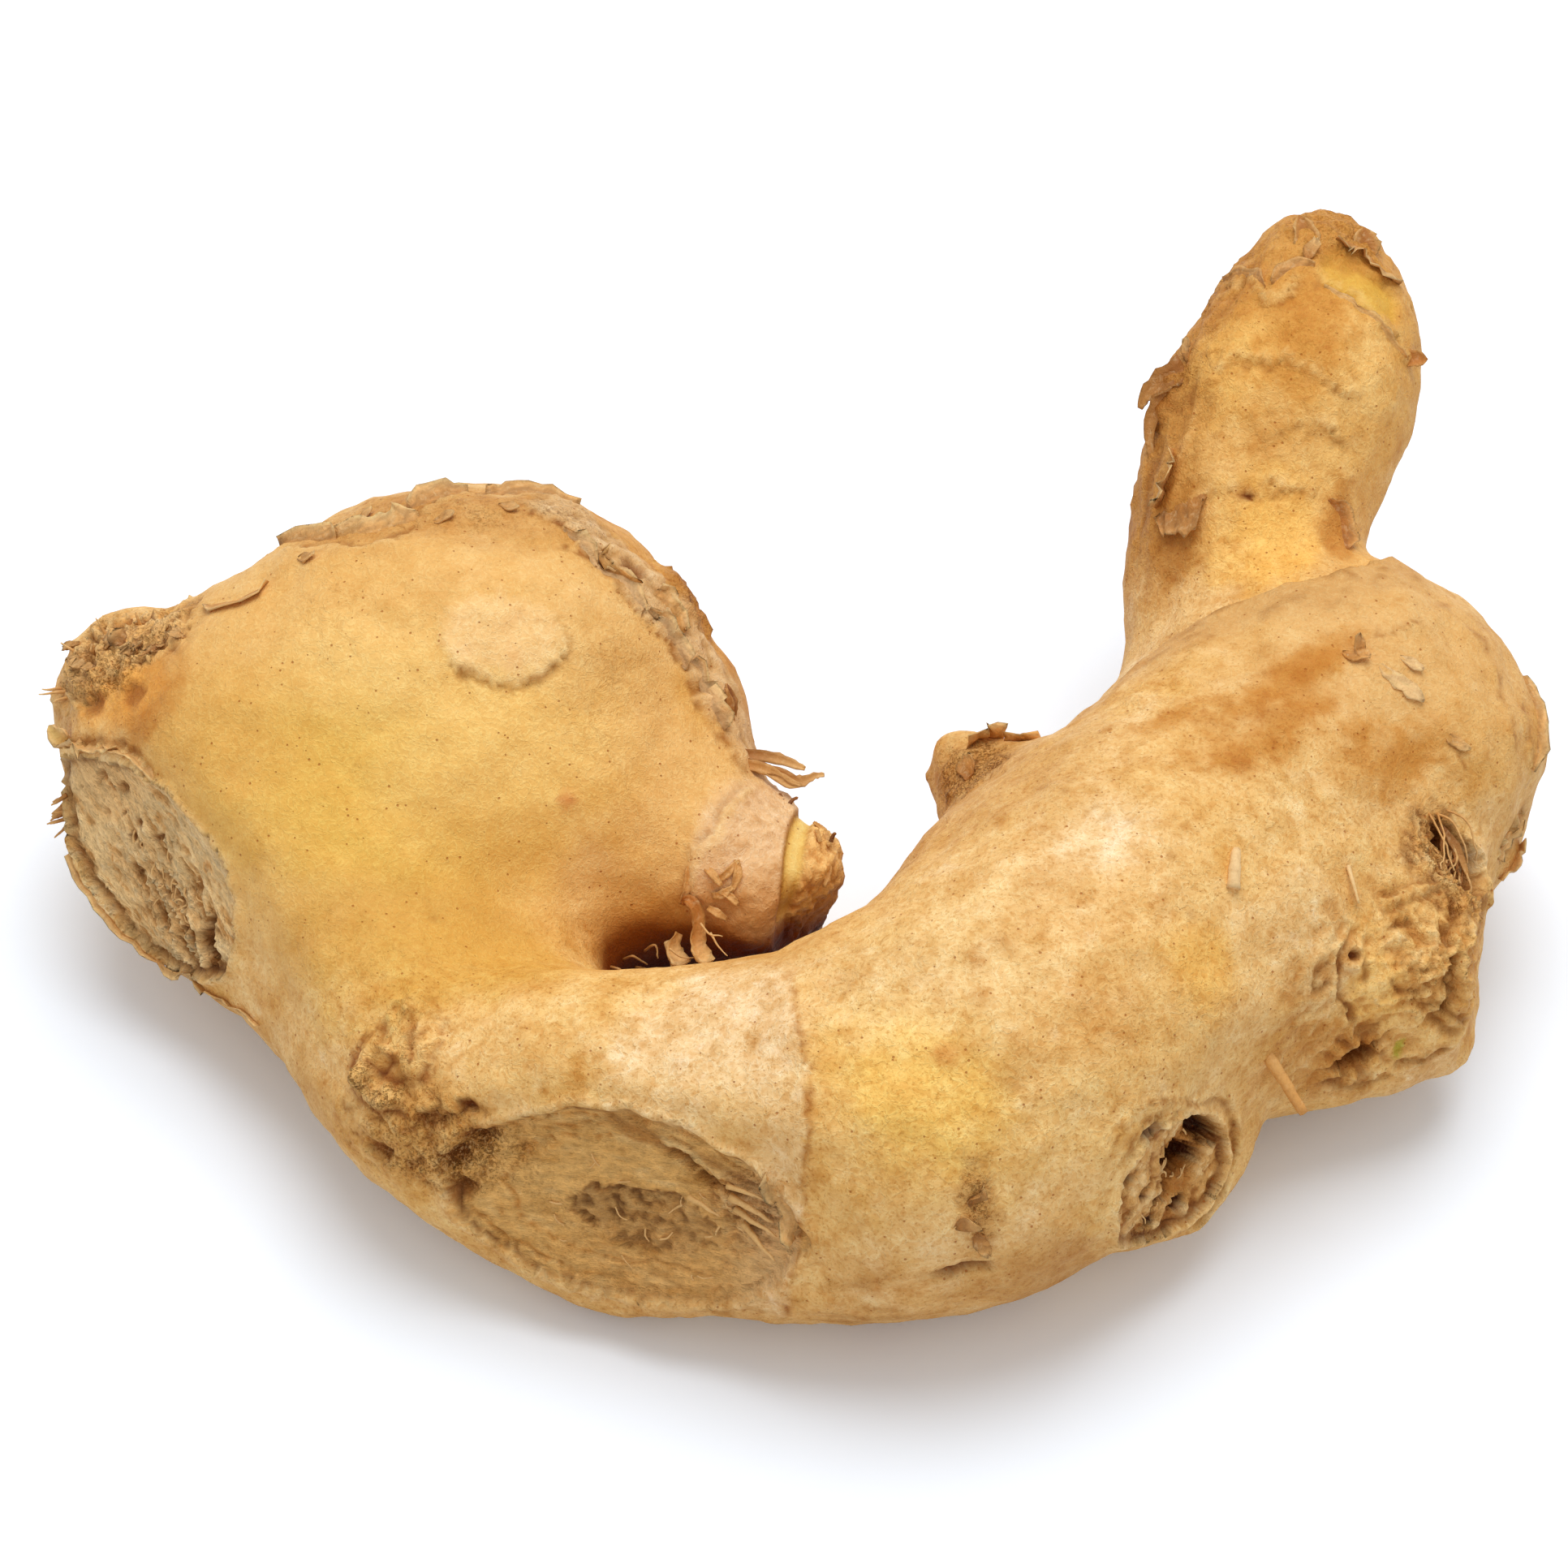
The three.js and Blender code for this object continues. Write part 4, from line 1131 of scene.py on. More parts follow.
def finger(skin):
    """The finger that stands up at the back right, ringed by scale edges, with a scaly tip."""
    axis = unit((0.24, 0.78, 0.57))
    height = (skin.places - np.array((38.6, 20, 24))) @ axis
    upper = ramp(height, -6, 2) * ramp(skin.places[:, 1], 12, 18)
    skin.paint(upper, (234, 178, 100), 0.7)
    skin.paint(upper * ramp(height, 10, 22), (212, 146, 64), 0.5)
    left = upper * ramp(skin.places[:, 0] - 0.3 * height, 33.5, 29.5)
    skin.paint(left, (190, 126, 56), 0.75)
    skin.bark += 0.2 * upper + 0.35 * left
    papery = skin.mottle(left, (7, 1.3, 1.3), 188, 4, 0.6, FINGER_AXES)
    skin.lift += 0.6 * left * papery
    # Painted shade between the papery ridges and a painted highlight on them.
    skin.shade(left, papery, (-0.05, -0.35, (150, 92, 38), 0.6), (0.1, 0.4, (226, 168, 98), 0.6))
    skin.felt -= 0.2 * upper
    patches = [
        ((36.5, 31, 38.5), 5, 3.5, (238, 178, 92), 0.7, 3),
        ((47, 29, 39), 9, 3.6, (248, 196, 118), 0.75, 3),
        ((39.5, 17, 31.5), 5.5, 4, (250, 190, 96), 0.8, 3),
        ((44, 23, 33), 6, 3, (246, 190, 108), 0.6, 3),
        ((31.5, 19.5, 28.5), 4.5, 2.6, (180, 116, 50), 0.7, 1.5),
        ((45.3, 19, 29.5), 4, 1.6, (190, 118, 46), 0.75, 1.5),
        ((43, 32, 40.5), 6.5, 3.6, (200, 128, 48), 0.65, 2.2),
        ((39, 24, 34), 4, 1.6, (200, 132, 58), 0.6, 1.6),
        ((39, 37.5, 41), 4, 2.5, (202, 134, 56), 0.6, 1.6),
    ]
    for i, (spot, reach, across, colour, strength, grit) in enumerate(patches):
        skin.dab(colour, strength, spot, reach, across, axis, 0.5, 0.35, grit, seed=190 + i)
    bare = skin.patch((48, 37.3, 42.2), 4.4, 3.0, (0.75, -0.6, -0.2), 0.2, 0.15, 1.6, seed=199)
    skin.paint(bare, (224, 170, 70), 0.9)
    skin.lift -= 0.5 * bare
    skin.bark *= 1 - 0.8 * bare
    skin.felt *= 1 - 0.8 * bare
    edges = [
        [
            (35.5, 40, 37), (37, 40, 39.5), (38.5, 38.5, 41), (39.5, 35, 41.5), (41.5, 36, 42.3),
            (43.5, 37.5, 43),
        ],
        [(43.5, 37.5, 43), (45, 36, 42.7), (48, 34.5, 41.5), (51, 33, 38.5), (52.5, 33, 35.5)],
        [
            (34, 29.5, 36.5), (36, 30.3, 38), (38, 30, 39), (41.5, 29, 39.7), (45, 27.5, 38.5),
            (48, 27.5, 36),
        ],
        [(32.5, 21.5, 30.5), (36, 21, 32.5), (38, 20.5, 33), (40.5, 21, 33), (44, 21, 31.5)],
        [(43.5, 40.5, 43.5), (47, 40.5, 43), (48.5, 39.5, 42.3), (51, 38, 40), (52.8, 38.5, 37)],
        [(38, 24.5, 34.7), (41, 25, 36), (44.5, 24.5, 36), (47, 24, 34)],
    ]
    for i, line in enumerate(edges):
        skin.ledge(line[::-1], 0.35, 2.0, 0.35, 0.4, 0.8, 200 + i)
    node = skin.patch((31.2, 32.4, 33.6), 2.6, 1.6, (0.2, 0.7, 0.6), 0.4, 0.25, seed=209)
    skin.paint(node, (170, 106, 46), 0.8)
    skin.lift += node * (0.9 + 0.8 * skin.mottle(node, 1.2, 208))
    tip = skin.patch((46, 42.5, 41), 5.5, 4.8, edge=0.4, wobble=0.25, seed=210)
    skin.paint(tip, (196, 130, 56), 0.8)
    skin.bark += 0.6 * tip
    skin.lift += 0.7 * tip * skin.mottle(tip, 1.8, 211)
    dot = skin.hollow((37.5, 20.3, 32.6), 0.55, 0.4, 0.4, (1, 0, 0), 0.8, seed=212)
    skin.paint(dot, (130, 66, 22), 0.8)


def bud(skin):
    """The small bud between lobe and arm: a papery sheath, a fresh yellow stripe and a ragged tip, browned
    with painted shade in its hollows and towards its underside.
    """
    axis = unit((1, -0.12, -0.1))
    run = (skin.places - np.array((-1.6, -8.5, 18))) @ axis - 0.06 * (skin.places[:, 1] + 8) ** 2 * 0.3
    near = skin.patch((-2.5, -8.5, 16.5), 8.5, 8, axis, 0.15, 0.03, seed=220)
    skin.felt *= 1 - 0.8 * near
    sheath = near * ramp(run, 0.35, 0) * ramp(run, -7.8, -6.4)
    skin.paint(sheath, (236, 192, 142), 0.9)
    folds = skin.mottle(sheath, 1.6, 221, 4, 0.65)
    skin.lift += sheath * (0.35 + 0.3 * folds)
    skin.shade(sheath, folds, (0.08, 0.4, (204, 148, 92), 0.5), (-0.1, -0.4, (252, 216, 168), 0.6))
    edge = [
        (-4, -2, 21), (-5.5, -5, 22), (-7, -8, 21.5), (-8.5, -10, 20.5), (-9, -11.5, 18.5),
        (-8.5, -12.5, 16),
    ]
    skin.ledge(edge[::-1], 0.4, 1.6, 0.35, 0.5, 0.3, 223)
    stripe = near * ramp(run, 0.15, 0.5) * ramp(run, 2.0, 1.6) * ramp(skin.places[:, 2], 14.6, 16)
    skin.paint(stripe, (232, 186, 96), 0.95)
    skin.paint(near * peak(run, 1.15, 0.35), (244, 214, 134), 0.7)
    skin.lift -= 0.25 * stripe
    skin.bark *= 1 - 0.9 * stripe
    skin.felt *= 1 - 0.9 * stripe
    skin.darken(0.6 * near * peak(run, 0.3, 0.2), (0.6, 0.48, 0.34))
    skin.darken(0.5 * near * peak(run, 1.95, 0.15), (0.6, 0.48, 0.34))
    tip = near * ramp(run, 1.7, 2.0)
    below = skin.patch((2, -11.2, 13), 4.6, 3.6, (0.5, 0.5, -0.6), 0.5, 0.05, seed=224)
    skin.lift -= 1.5 * below
    skin.paint(tip, (250, 196, 120), 0.95)
    # Painted shade: the bud turns brown towards its underside.
    skin.paint(near * ramp(skin.places[:, 2], 15, 12.5), (198, 124, 52), 0.6)
    crumb = skin.mottle(tip, 1.1, 222, 3, 0.65)
    skin.lift += tip * (0.3 + 0.6 * crumb)
    # Painted shade in the hollows between the crumbs of the tip.
    skin.paint(tip * ramp(crumb, 0.0, -0.35), (196, 128, 62), 0.6)
    skin.bark += 0.3 * tip


def crevice(skin):
    """The deep fold between bud, lobe and arm, painted in dark browns as shade."""
    height = skin.places[:, 2]
    behind = ramp(skin.places[:, 1], -18.5, -16.5)
    # Every brown painted below is painted shade: the fold is deep and little light gets into it.
    fold = skin.patch((-9.5, -13, 9.5), 10.5, 7, (1, 0.05, 0), 0.25, 0.1, seed=230) * behind
    skin.paint(fold * ramp(height, 17.5, 14), CREVICE_SHADE, 0.97)
    # Painted shade under the bud and on the arm's back wall.
    under = skin.patch((1, -13, 9), 9, 6, (1, 0.1, 0), 0.4, 0.15, seed=231) * behind
    skin.paint(under * ramp(height, 13, 9), (132, 64, 20), 0.9)
    shade_by_fold = skin.patch((-12, -12.5, 14.5), 12, 3.2, (1, 0.05, 0.25), 0.6, 0.15, seed=232) * behind
    skin.paint(shade_by_fold, (186, 110, 38), 0.5)
    deepest = skin.patch((0, -12.5, 7), 15, 9, (1, 0, 0), 0.2, 0.1, seed=234)
    skin.paint(deepest * ramp(height, 11, 9), CREVICE_SHADE, 0.9)
    skin.felt *= 1 - fold
    shaded_back_wall = skin.patch((-5, -20, 12), 12, 6, (1, 0.05, 0), 0.4, 0.1, seed=233) * (1 - behind)
    skin.paint(shaded_back_wall * ramp(height, 18, 12), (120, 62, 22), 0.9)


FEATURES = (
    first_coat,
    left_lobe,
    left_end,
    front_face,
    arm,
    stub,
    knob,
    right_lobe,
    notch,
    back_bump,
    finger,
    bud,
    crevice,
    blotches,
)

# Directions of slanting streaks.
SLANT = turned((0.7, 0.2, 0.6))
CREASE = turned((0.85, 0.5, 0.2))
NOTCH_AXES = turned((0.4, -0.8, -0.4))
FINGER_AXES = turned((0.24, 0.78, 0.57))


def keep(mesh, name, kind, field, values):
    """Stores an array on the mesh's points, for the materials to read."""
    made = mesh.attributes.new(name, kind, "POINT")
    made.data.foreach_set(field, np.ascontiguousarray(values, np.float32).ravel())


def keep_tint(mesh, colours):
    """Stores sRGB colours out of 255 as the tint."""
    tint = (np.clip(np.array(colours), 0, 255) / 255) ** GAMMA
    keep(mesh, "tint", "FLOAT_COLOR", "color", np.column_stack([tint, np.ones(len(tint))]))


def dressed_skin():
    """The whole outside: relief, tint and the shares of bark and cut face, on one mesh."""
    mesh = even_mesh(NODE)
    smooth(mesh, SMOOTHING_ROUNDS)
    refine(mesh, FINE_REGIONS, FINE_EDGE)
    refine(mesh, FINEST_REGIONS, FINEST_EDGE)
    skin = Skin(mesh)
    for feature in FEATURES:
        feature(skin)
    skin.lift += np.clip(skin.bark, 0, 2) * 0.1 * layered(skin.places, 0.9, 240, 2)
    rest = ramp(skin.places[:, 2], *LOWEST)
    raised = skin.places + skin.normals * (skin.lift * rest)[:, None]
    raised[:, 2] = np.maximum(raised[:, 2], 0)
    set_places(mesh, raised)
    keep_tint(mesh, skin.tint)
    for name, share, top in (("bark", skin.bark, 2), ("cut", skin.cut, 1), ("felt", skin.felt, 1)):
        keep(mesh, name, "FLOAT", "value", np.clip(share, 0, top))
    keep(mesh, "grain", "FLOAT_VECTOR", "vector", skin.grain)
    mesh.shade_smooth()
    return mesh


# ------------------------------------------------------------------------- loose scales and fibres

PAPER = (236, 184, 112)
FRONT_UP = (0, -0.7, 0.7)  # the way a free scale faces where nothing else is said


class Surface:
    """The finished skin, for setting pieces on it."""

    def __init__(self, mesh):
        places = places_of(mesh)
        faces = [tuple(face.vertices) for face in mesh.polygons]
        self.tree = BVHTree.FromPolygons([tuple(place) for place in places], faces)

    def nearest(self, point):
        """The nearest place on the skin, and the way out from it."""
        place, normal, _, _ = self.tree.find_nearest(Vector(point))
        return np.array(place), np.array(normal)


class Loose:
    """Thin pieces of one kind, gathered in one mesh with a tint on each point."""

    def __init__(self, surface, seed):
        self.surface = surface
        self.random = np.random.default_rng(seed)
        self.places = []
        self.faces = []
        self.tints = []

    def sheet(self, grid, thickness):
        """A closed thin sheet through rows of points, each point with its normal and its tint."""
        grid = np.array(grid, float)
        across, along = grid.shape[:2]
        places, normals, tints = (grid[:, :, i].reshape(-1, 3) for i in range(3))
        index = len(self.places) + np.arange(2 * across * along).reshape(2, across, along)
        for sign in (0.5, -0.5):
            self.places += list(places + normals * thickness * sign)
            self.tints += list(tints)
        for i in range(across - 1):
            for j in range(along - 1):
                corner = (i, j), (i, j + 1), (i + 1, j + 1), (i + 1, j)
                self.faces.append([index[0][spot] for spot in corner])
                self.faces.append([index[1][spot] for spot in reversed(corner)])
        border = [(0, j) for j in range(along)] + [(i, along - 1) for i in range(1, across)]
        border += [(across - 1, j) for j in range(along - 2, -1, -1)]
        border += [(i, 0) for i in range(across - 2, 0, -1)]
        for here, there in zip(border, border[1:] + border[:1]):
            self.faces.append([index[0][there], index[0][here], index[1][here], index[1][there]])

    def scale(
        self, line, width, rise=0.8, side=1, tint=PAPER, rim=STRAW, curl=0.0, thickness=0.14, ragged=0.5
    ):
        """A papery scale rooted along a line on the skin. It lies over the skin to the right of the line, or
        to the left where side is -1, and its torn free edge stands off by rise."""
        line = through(line, 5)
        seed = int(self.random.integers(1000))
        share = np.linspace(0, 1, len(line))
        torn = 1 + ragged * 1.6 * layered(line, 1.3, seed, 3, 0.7)
        torn *= np.clip(4 * np.minimum(share, 1 - share) + 0.25, 0, 1)
        wave = layered(line, 2.5, seed + 9, 2)
        tangents = np.gradient(line, axis=0)
        grid = []
        for out in np.arange(SCALE_STEPS + 1) / SCALE_STEPS:
            row = []
            for i, spot in enumerate(line):
                home, normal = self.surface.nearest(spot)
                heading = side * unit(np.cross(unit(tangents[i]), normal))
                reach = width * max(torn[i], 0.15)
                flat = home + heading * reach * out
                place, up = self.surface.nearest(flat + normal * 0.3)
                lifted = rise * (1 + 0.7 * wave[i]) * out**1.4 - ROOT_DEPTH * (1 - out)
                point = place + up * lifted + (flat - place) * 0.3 * out
                point = point - heading * curl * reach * max(out - 0.6, 0) ** 1.2
                row.append((point, up, mixed(tint, rim, out**2) * (0.9 + 0.2 * self.random.random())))
            grid.append(row)
        self.sheet(grid, thickness)

    def leaf(
        self, root, tip, width, bow=0.3, cup=0.3, facing=FRONT_UP, tint=PAPER, rim=STRAW, thickness=0.16
    ):
        """A pointed scale that stands free: from its root to its tip, bowed along and cupped across."""
        root = np.array(root, float)
        run = np.array(tip, float) - root
        up = unit(np.array(facing, float) - unit(run) * (np.array(facing, float) @ unit(run)))
        side = np.cross(unit(run), up)
        grid = []
        for a in np.linspace(0, 1, 9):
            half = 0.5 * width * (np.sin(math.pi * min(0.2 + 0.8 * a, 1)) ** 0.7 + 0.02)
            arch = bow * math.sin(math.pi * a) * np.linalg.norm(run) * 0.3
            row = []
            for b in np.linspace(-1, 1, 7):
                rough = 1 + 0.12 * self.random.standard_normal() * abs(b)
                point = root + run * a + side * half * b * rough + up * (arch + cup * half * b * b)
                row.append((point, up, mixed(tint, rim, b * b)))
            grid.append(row)
        self.sheet(grid, thickness)

    def ribbon(self, line, widths, facing, tint, end, thickness=0.2, cup=0.3):
        """A narrow strip through points, as wide as widths says along it, and hollowed across."""
        knots = np.linspace(0, 1, len(widths))
        widths = np.interp(np.linspace(0, 1, 4 * (len(line) - 1) + 1), knots, widths)
        line = through(line, 4)
        grid = []
        for i, (point, tangent) in enumerate(zip(line, np.gradient(line, axis=0))):
            side = unit(np.cross(unit(tangent), unit(facing)))
            up = np.cross(side, unit(tangent))
            half = widths[i] / 2
            rough = 1 + 0.12 * self.random.standard_normal(5)
            shade = mixed(tint, end, i / (len(line) - 1))
            across = zip(np.linspace(-1, 1, 5), rough)
            row = [(point + side * half * b * r + up * cup * half * b * b, up, shade) for b, r in across]
            grid.append(row)
        self.sheet(grid, thickness)

    def chip(self, spot, length, width, heading, rise=0.6, tint=PAPER, rim=STRAW, thickness=0.14):
        """A flake lying on the skin by one end, the other end raised."""
        home, normal = self.surface.nearest(spot)
        along = unit(np.array(heading, float) - normal * (np.array(heading, float) @ normal))
        side = np.cross(normal, along)
        seed = int(self.random.integers(1000))
        grid = []
        for a in np.linspace(-1, 1, 8):
            half = width / 2 * math.sqrt(max(1.02 - a * a, 0.04))
            out = (a + 1) / 2
            row = []
            for b in np.linspace(-1, 1, 6):
                flat = home + along * a * length / 2 + side * b * half
                flat = flat + 0.25 * width * noise(flat[None], 0.9, seed)[0] * side
                place, up = self.surface.nearest(flat)
                point = place + up * (rise * out**1.6 + 0.25 * rise * b * b - 0.1)
                row.append((point, up, mixed(tint, rim, out**2) * (0.92 + 0.16 * self.random.random())))
            grid.append(row)
        self.sheet(grid, thickness)

    def strand(self, line, thick, tip=0.35, tint=PAPER, end=None, sides=6, kink=0.0):
        """A fibre or peg through points: its width at the root and the share of it left at the tip."""
        line = through(line, 5)
        last = len(line) - 1
        if kink:
            seed = int(self.random.integers(1000))
            shift = np.stack([layered(line, 1.6, seed + 7 * i, 2) for i in range(3)], axis=1)
            line = line + kink * shift * np.linspace(0, 1, len(line))[:, None]
        rings = len(self.places) + np.arange(len(line) * sides).reshape(-1, sides)
        for i, (point, tangent) in enumerate(zip(line, np.gradient(line, axis=0))):
            share = i / last
            side = unit(np.cross(unit(tangent), ODD_WAY))
            other = np.cross(unit(tangent), side)
            radius = thick / 2 * (1 - share * (1 - tip)) * (0.9 + 0.2 * self.random.random())
            for turn in 2 * math.pi * np.arange(sides) / sides:
                self.places.append(point + radius * (math.cos(turn) * side + math.sin(turn) * other))
                self.tints.append(mixed(tint, end or tint, share))
        for ring, next_ring in zip(rings, rings[1:]):
            for k in range(sides):
                n = (k + 1) % sides
                self.faces.append([ring[k], ring[n], next_ring[n], next_ring[k]])
        self.faces += [list(rings[0][::-1]), list(rings[last])]

    def strands(self, lines, *look, **more):
        """Several strands that look alike."""
        for line in lines:
            self.strand(line, *look, **more)

    def hair(self, spot, way, length, thick, tint, end):
        """A strand rooted in the skin that leaves it in a direction."""
        home, _ = self.surface.nearest(spot)
        line = [home + unit(way) * run for run in (-0.4, length * 0.35, length * 0.7, length)]
        self.strand(line, thick, 0.3, tint, end, kink=0.3)

    def piece(self, name, material, slot):
        """Puts the gathered pieces in the scene."""
        mesh = bpy.data.meshes.new(name)
        places = np.array(self.places)
        places[:, 2] = np.maximum(places[:, 2], FLOOR_GAP)
        mesh.from_pydata((places * MM).tolist(), [], self.faces)
        keep_tint(mesh, self.tints)
        mesh.shade_smooth()
        return add_object(name, mesh, material)


def node_ring_scales(loose):
    """Torn scale edges where the left lobe was joined, and along its top."""
    beige, ochre = (222, 176, 120), (216, 156, 84)
    loose.scale(
        [(-19.6, 12, 35.8), (-17.2, 10, 35), (-14.8, 8.2, 33.8), (-12.8, 6.6, 32.1)], 1.3, 0.6, -1, beige,
        STRAW, 0, 0.14, 0.3,
    )
    loose.scale(
        [(-12.6, 6.8, 31.8), (-10.8, 5.8, 29.6), (-9.2, 4.4, 27.2)], 1.2, 0.6, -1, beige, STRAW, 0, 0.14,
        0.5,
    )
    loose.scale(
        [(-9.2, 5.2, 27.4), (-7.8, 3, 25.2), (-6.4, 1.6, 23.4)], 1.3, 0.8, -1, beige, STRAW, 0.2, 0.14,
        0.6,
    )
    loose.scale(
        [(-12.4, 9.6, 31.4), (-11.2, 8.4, 30.6), (-9.8, 7.4, 29)], 1.6, 0.7, -1, ochre, STRAW, 0.2,
    )
    loose.scale(
        [(-16.6, 11.4, 34.4), (-14.8, 9.6, 33.6), (-13.4, 8.8, 32.7)], 1.1, 0.8, 1, (190, 130, 66), PAPER,
        0.8,
    )
    loose.leaf(
        (-5.6, 3.6, 23), (-6, 5.4, 25.2), 0.9, 0.3, 0.5, (0.5, -0.5, 0.6), (150, 88, 38), (200, 140, 76),
        0.3,
    )
    loose.scale(
        [(-43, 14.5, 32), (-40.5, 12.8, 34), (-38, 11.8, 35.2)], 1.8, 0.8, -1, (206, 146, 78), STRAW,
    )
    loose.scale(
        [(-38.2, 12.2, 35), (-35.5, 11.5, 36.2), (-32.5, 12, 36.9), (-31, 13.2, 36.8)], 2.2, 0.8, -1,
        (214, 156, 86), STRAW,
    )
    loose.scale(
        [(-32, 14.5, 36.6), (-29.5, 16.3, 36.1), (-27.3, 17.2, 35.6)], 1.6, 0.7, -1, (206, 146, 78),
        STRAW,
    )
    loose.scale(
        [(-26, 17.2, 35.4), (-22.5, 17.8, 34.9), (-18.5, 17, 34)], 1.8, 0.7, -1, (198, 142, 80), PAPER,
    )
    loose.scale([(-48, 9, 29.3), (-45.5, 8, 31.3), (-43, 8.8, 33)], 1.6, 0.5, 1, (216, 150, 76), STRAW)
    for spot, way in [
        ((-36, 15, 35.3), (1, 0.5, 0)), ((-29, 12.5, 37), (1, 0.2, 0)), ((-24, 14, 36.3), (1, -0.3, 0)),
        ((-40, 9.5, 35), (0.8, -0.4, 0)),
    ]:
        loose.chip(spot, 1.9, 1.1, way, 0.5, (206, 146, 78), STRAW)


def lobe_flakes(loose):
    """Small flakes on the right lobe, the back bump and the arm."""
    loose.chip((45, 0.5, 32.9), 2.4, 1.2, (1, -0.3, 0), 0.7, (206, 140, 66), (240, 186, 116), 0.12)
    loose.chip((45.4, 1.3, 32.8), 1.6, 0.9, (0.1, 1, 0), 1.3, (214, 150, 76), (246, 198, 130), 0.12)
    loose.chip(
        (48.6, -1.4, 31.6), 4.6, 1.5, (0.8, -0.5, -0.3), 0.35, (246, 198, 132), (250, 208, 146), 0.12,
    )
    loose.chip((49.4, 0.6, 31.9), 2.2, 0.9, (0.8, -0.5, 0), 0.4, (246, 198, 132), (250, 208, 146), 0.12)
    loose.chip((53, -4.5, 28), 2.2, 0.9, (0.4, 0.3, -0.8), 0.4, (220, 160, 88), STRAW, 0.12)
    loose.scale(
        [(13.5, 2, 23.5), (15.2, 3.4, 21.7), (17, 3.3, 21)], 2.2, 1.6, 1, (214, 150, 76), STRAW, 0.7,
    )
    loose.scale([(17, 2.6, 21.8), (18.7, 2.6, 22), (20, 2, 22.6)], 1.2, 0.7, 1, (210, 146, 74), PAPER)
    loose.chip((12.5, -1, 23), 2.4, 1.7, (0.4, 0.5, -0.4), 0.9, (186, 118, 52), PAPER)
    loose.scale(
        [(60, 8, 23.5), (60.8, 5, 23.7), (60.6, 2, 23.3), (59.8, -1, 22)], 1.1, 0.6, -1, (214, 152, 80),
        STRAW,
    )
    loose.scale(
        [(-2.6, -43.8, 21), (-1.2, -45.1, 18.3), (-0.3, -46.1, 15.3)], 1.1, 0.8, 1, (226, 172, 102),
        STRAW,
    )
    for spot, way, length in [
        ((13.2, -47, 22), (0.3, -0.2, 1), 2.2),
        ((12.4, -47.6, 20), (0.8, 0, 0.4), 1.7),
        ((13.6, -47.9, 18), (0.5, 0, -0.8), 1.8),
    ]:
        loose.chip(spot, length, 1.1, way, 0.9, (184, 124, 62), PAPER)


def finger_scales(loose):
    """Scales round the finger and at its tip."""
    brown = (196, 130, 60)
    loose.scale(
        [(36.5, 41.5, 38.5), (38.3, 39.2, 41), (39.6, 36.5, 41.7)], 0.8, 0.4, -1, (206, 144, 74),
        (226, 172, 102),
    )
    loose.scale(
        [(40.2, 36.6, 41.9), (42.3, 37.8, 42.7), (43.8, 37.8, 43.1)], 0.8, 0.4, -1, (206, 144, 74),
        (226, 172, 102),
    )
    loose.scale(
        [(45.8, 41.4, 43.2), (47.6, 41.4, 42.8), (49.4, 40.3, 41.8), (51.2, 39, 40)], 1.2, 0.7, 1, brown,
        STRAW,
    )
    loose.scale(
        [(44.4, 35.6, 42.4), (47.2, 34.2, 41.6), (49.6, 33, 39.7), (51.6, 32.6, 37.4)], 0.5, 0.25, -1,
        (236, 180, 104), (244, 194, 122), 0, 0.12, 0.3,
    )
    loose.leaf((43.8, 40.5, 42), (42.8, 43.7, 44), 2.2, 0.2, 0.4, (0, -0.6, 0.8), (190, 122, 52), PAPER)
    loose.leaf(
        (48.5, 41.5, 41), (48.5, 43.8, 42.6), 2.4, 0.2, 0.4, (0.2, -0.6, 0.8), (184, 116, 48), PAPER,
    )
    loose.leaf(
        (51.4, 33.4, 36.5), (53.6, 33.6, 36.4), 1.4, 0.4, 0.5, (0.2, -0.6, 0.7), (206, 130, 56),
        (224, 160, 84),
    )
    for line, widths in [
        (
            [(33, 33.2, 35.6), (31.2, 32.8, 34.6), (29.8, 32.2, 33.6), (29.2, 31.6, 32.6)],
            (2.4, 2.2, 1.2, 0.4),
        ),
        ([(32.6, 31.6, 34), (31, 31.2, 33.2), (30, 30, 31.6), (30.2, 28, 29.6)], (2.6, 2.0, 1.0, 0.4)),
    ]:
        loose.ribbon(line, widths, (-0.3, -0.6, 0.75), (176, 112, 50), (214, 156, 86), 0.3, 0.5)
    # The fan-shaped scale low on the left, hanging from its upper edge, and the curl above it.
    loose.scale(
        [(30.6, 22.6, 28.6), (31.6, 22.2, 29.8), (33, 21.8, 31), (34.3, 21.6, 31.8)], 3.4, 0.7, 1,
        (186, 124, 60), (214, 158, 92), 0.2, 0.14, 0.35,
    )
    loose.scale(
        [(31.8, 26.5, 32.5), (31.3, 24.5, 30.6), (30.6, 23, 28.8)], 1.5, 1.2, -1, (206, 142, 74), STRAW,
        0.4, 0.14, 0.3,
    )
    loose.scale(
        [(44.3, 21.3, 31.3), (45.6, 20.3, 29.7), (46.2, 18, 29.3)], 1.2, 0.5, -1, (186, 114, 46), PAPER,
    )
    spots = [
        ((43.5, 39.5, 43.6), (0.5, 0.7, 0)),
        ((33.3, 34.5, 36.5), (-0.5, 0.5, 0.6)),
    ]
    for spot, way in spots:
        loose.chip(spot, 2.2, 1.3, way, 0.7, brown, STRAW)


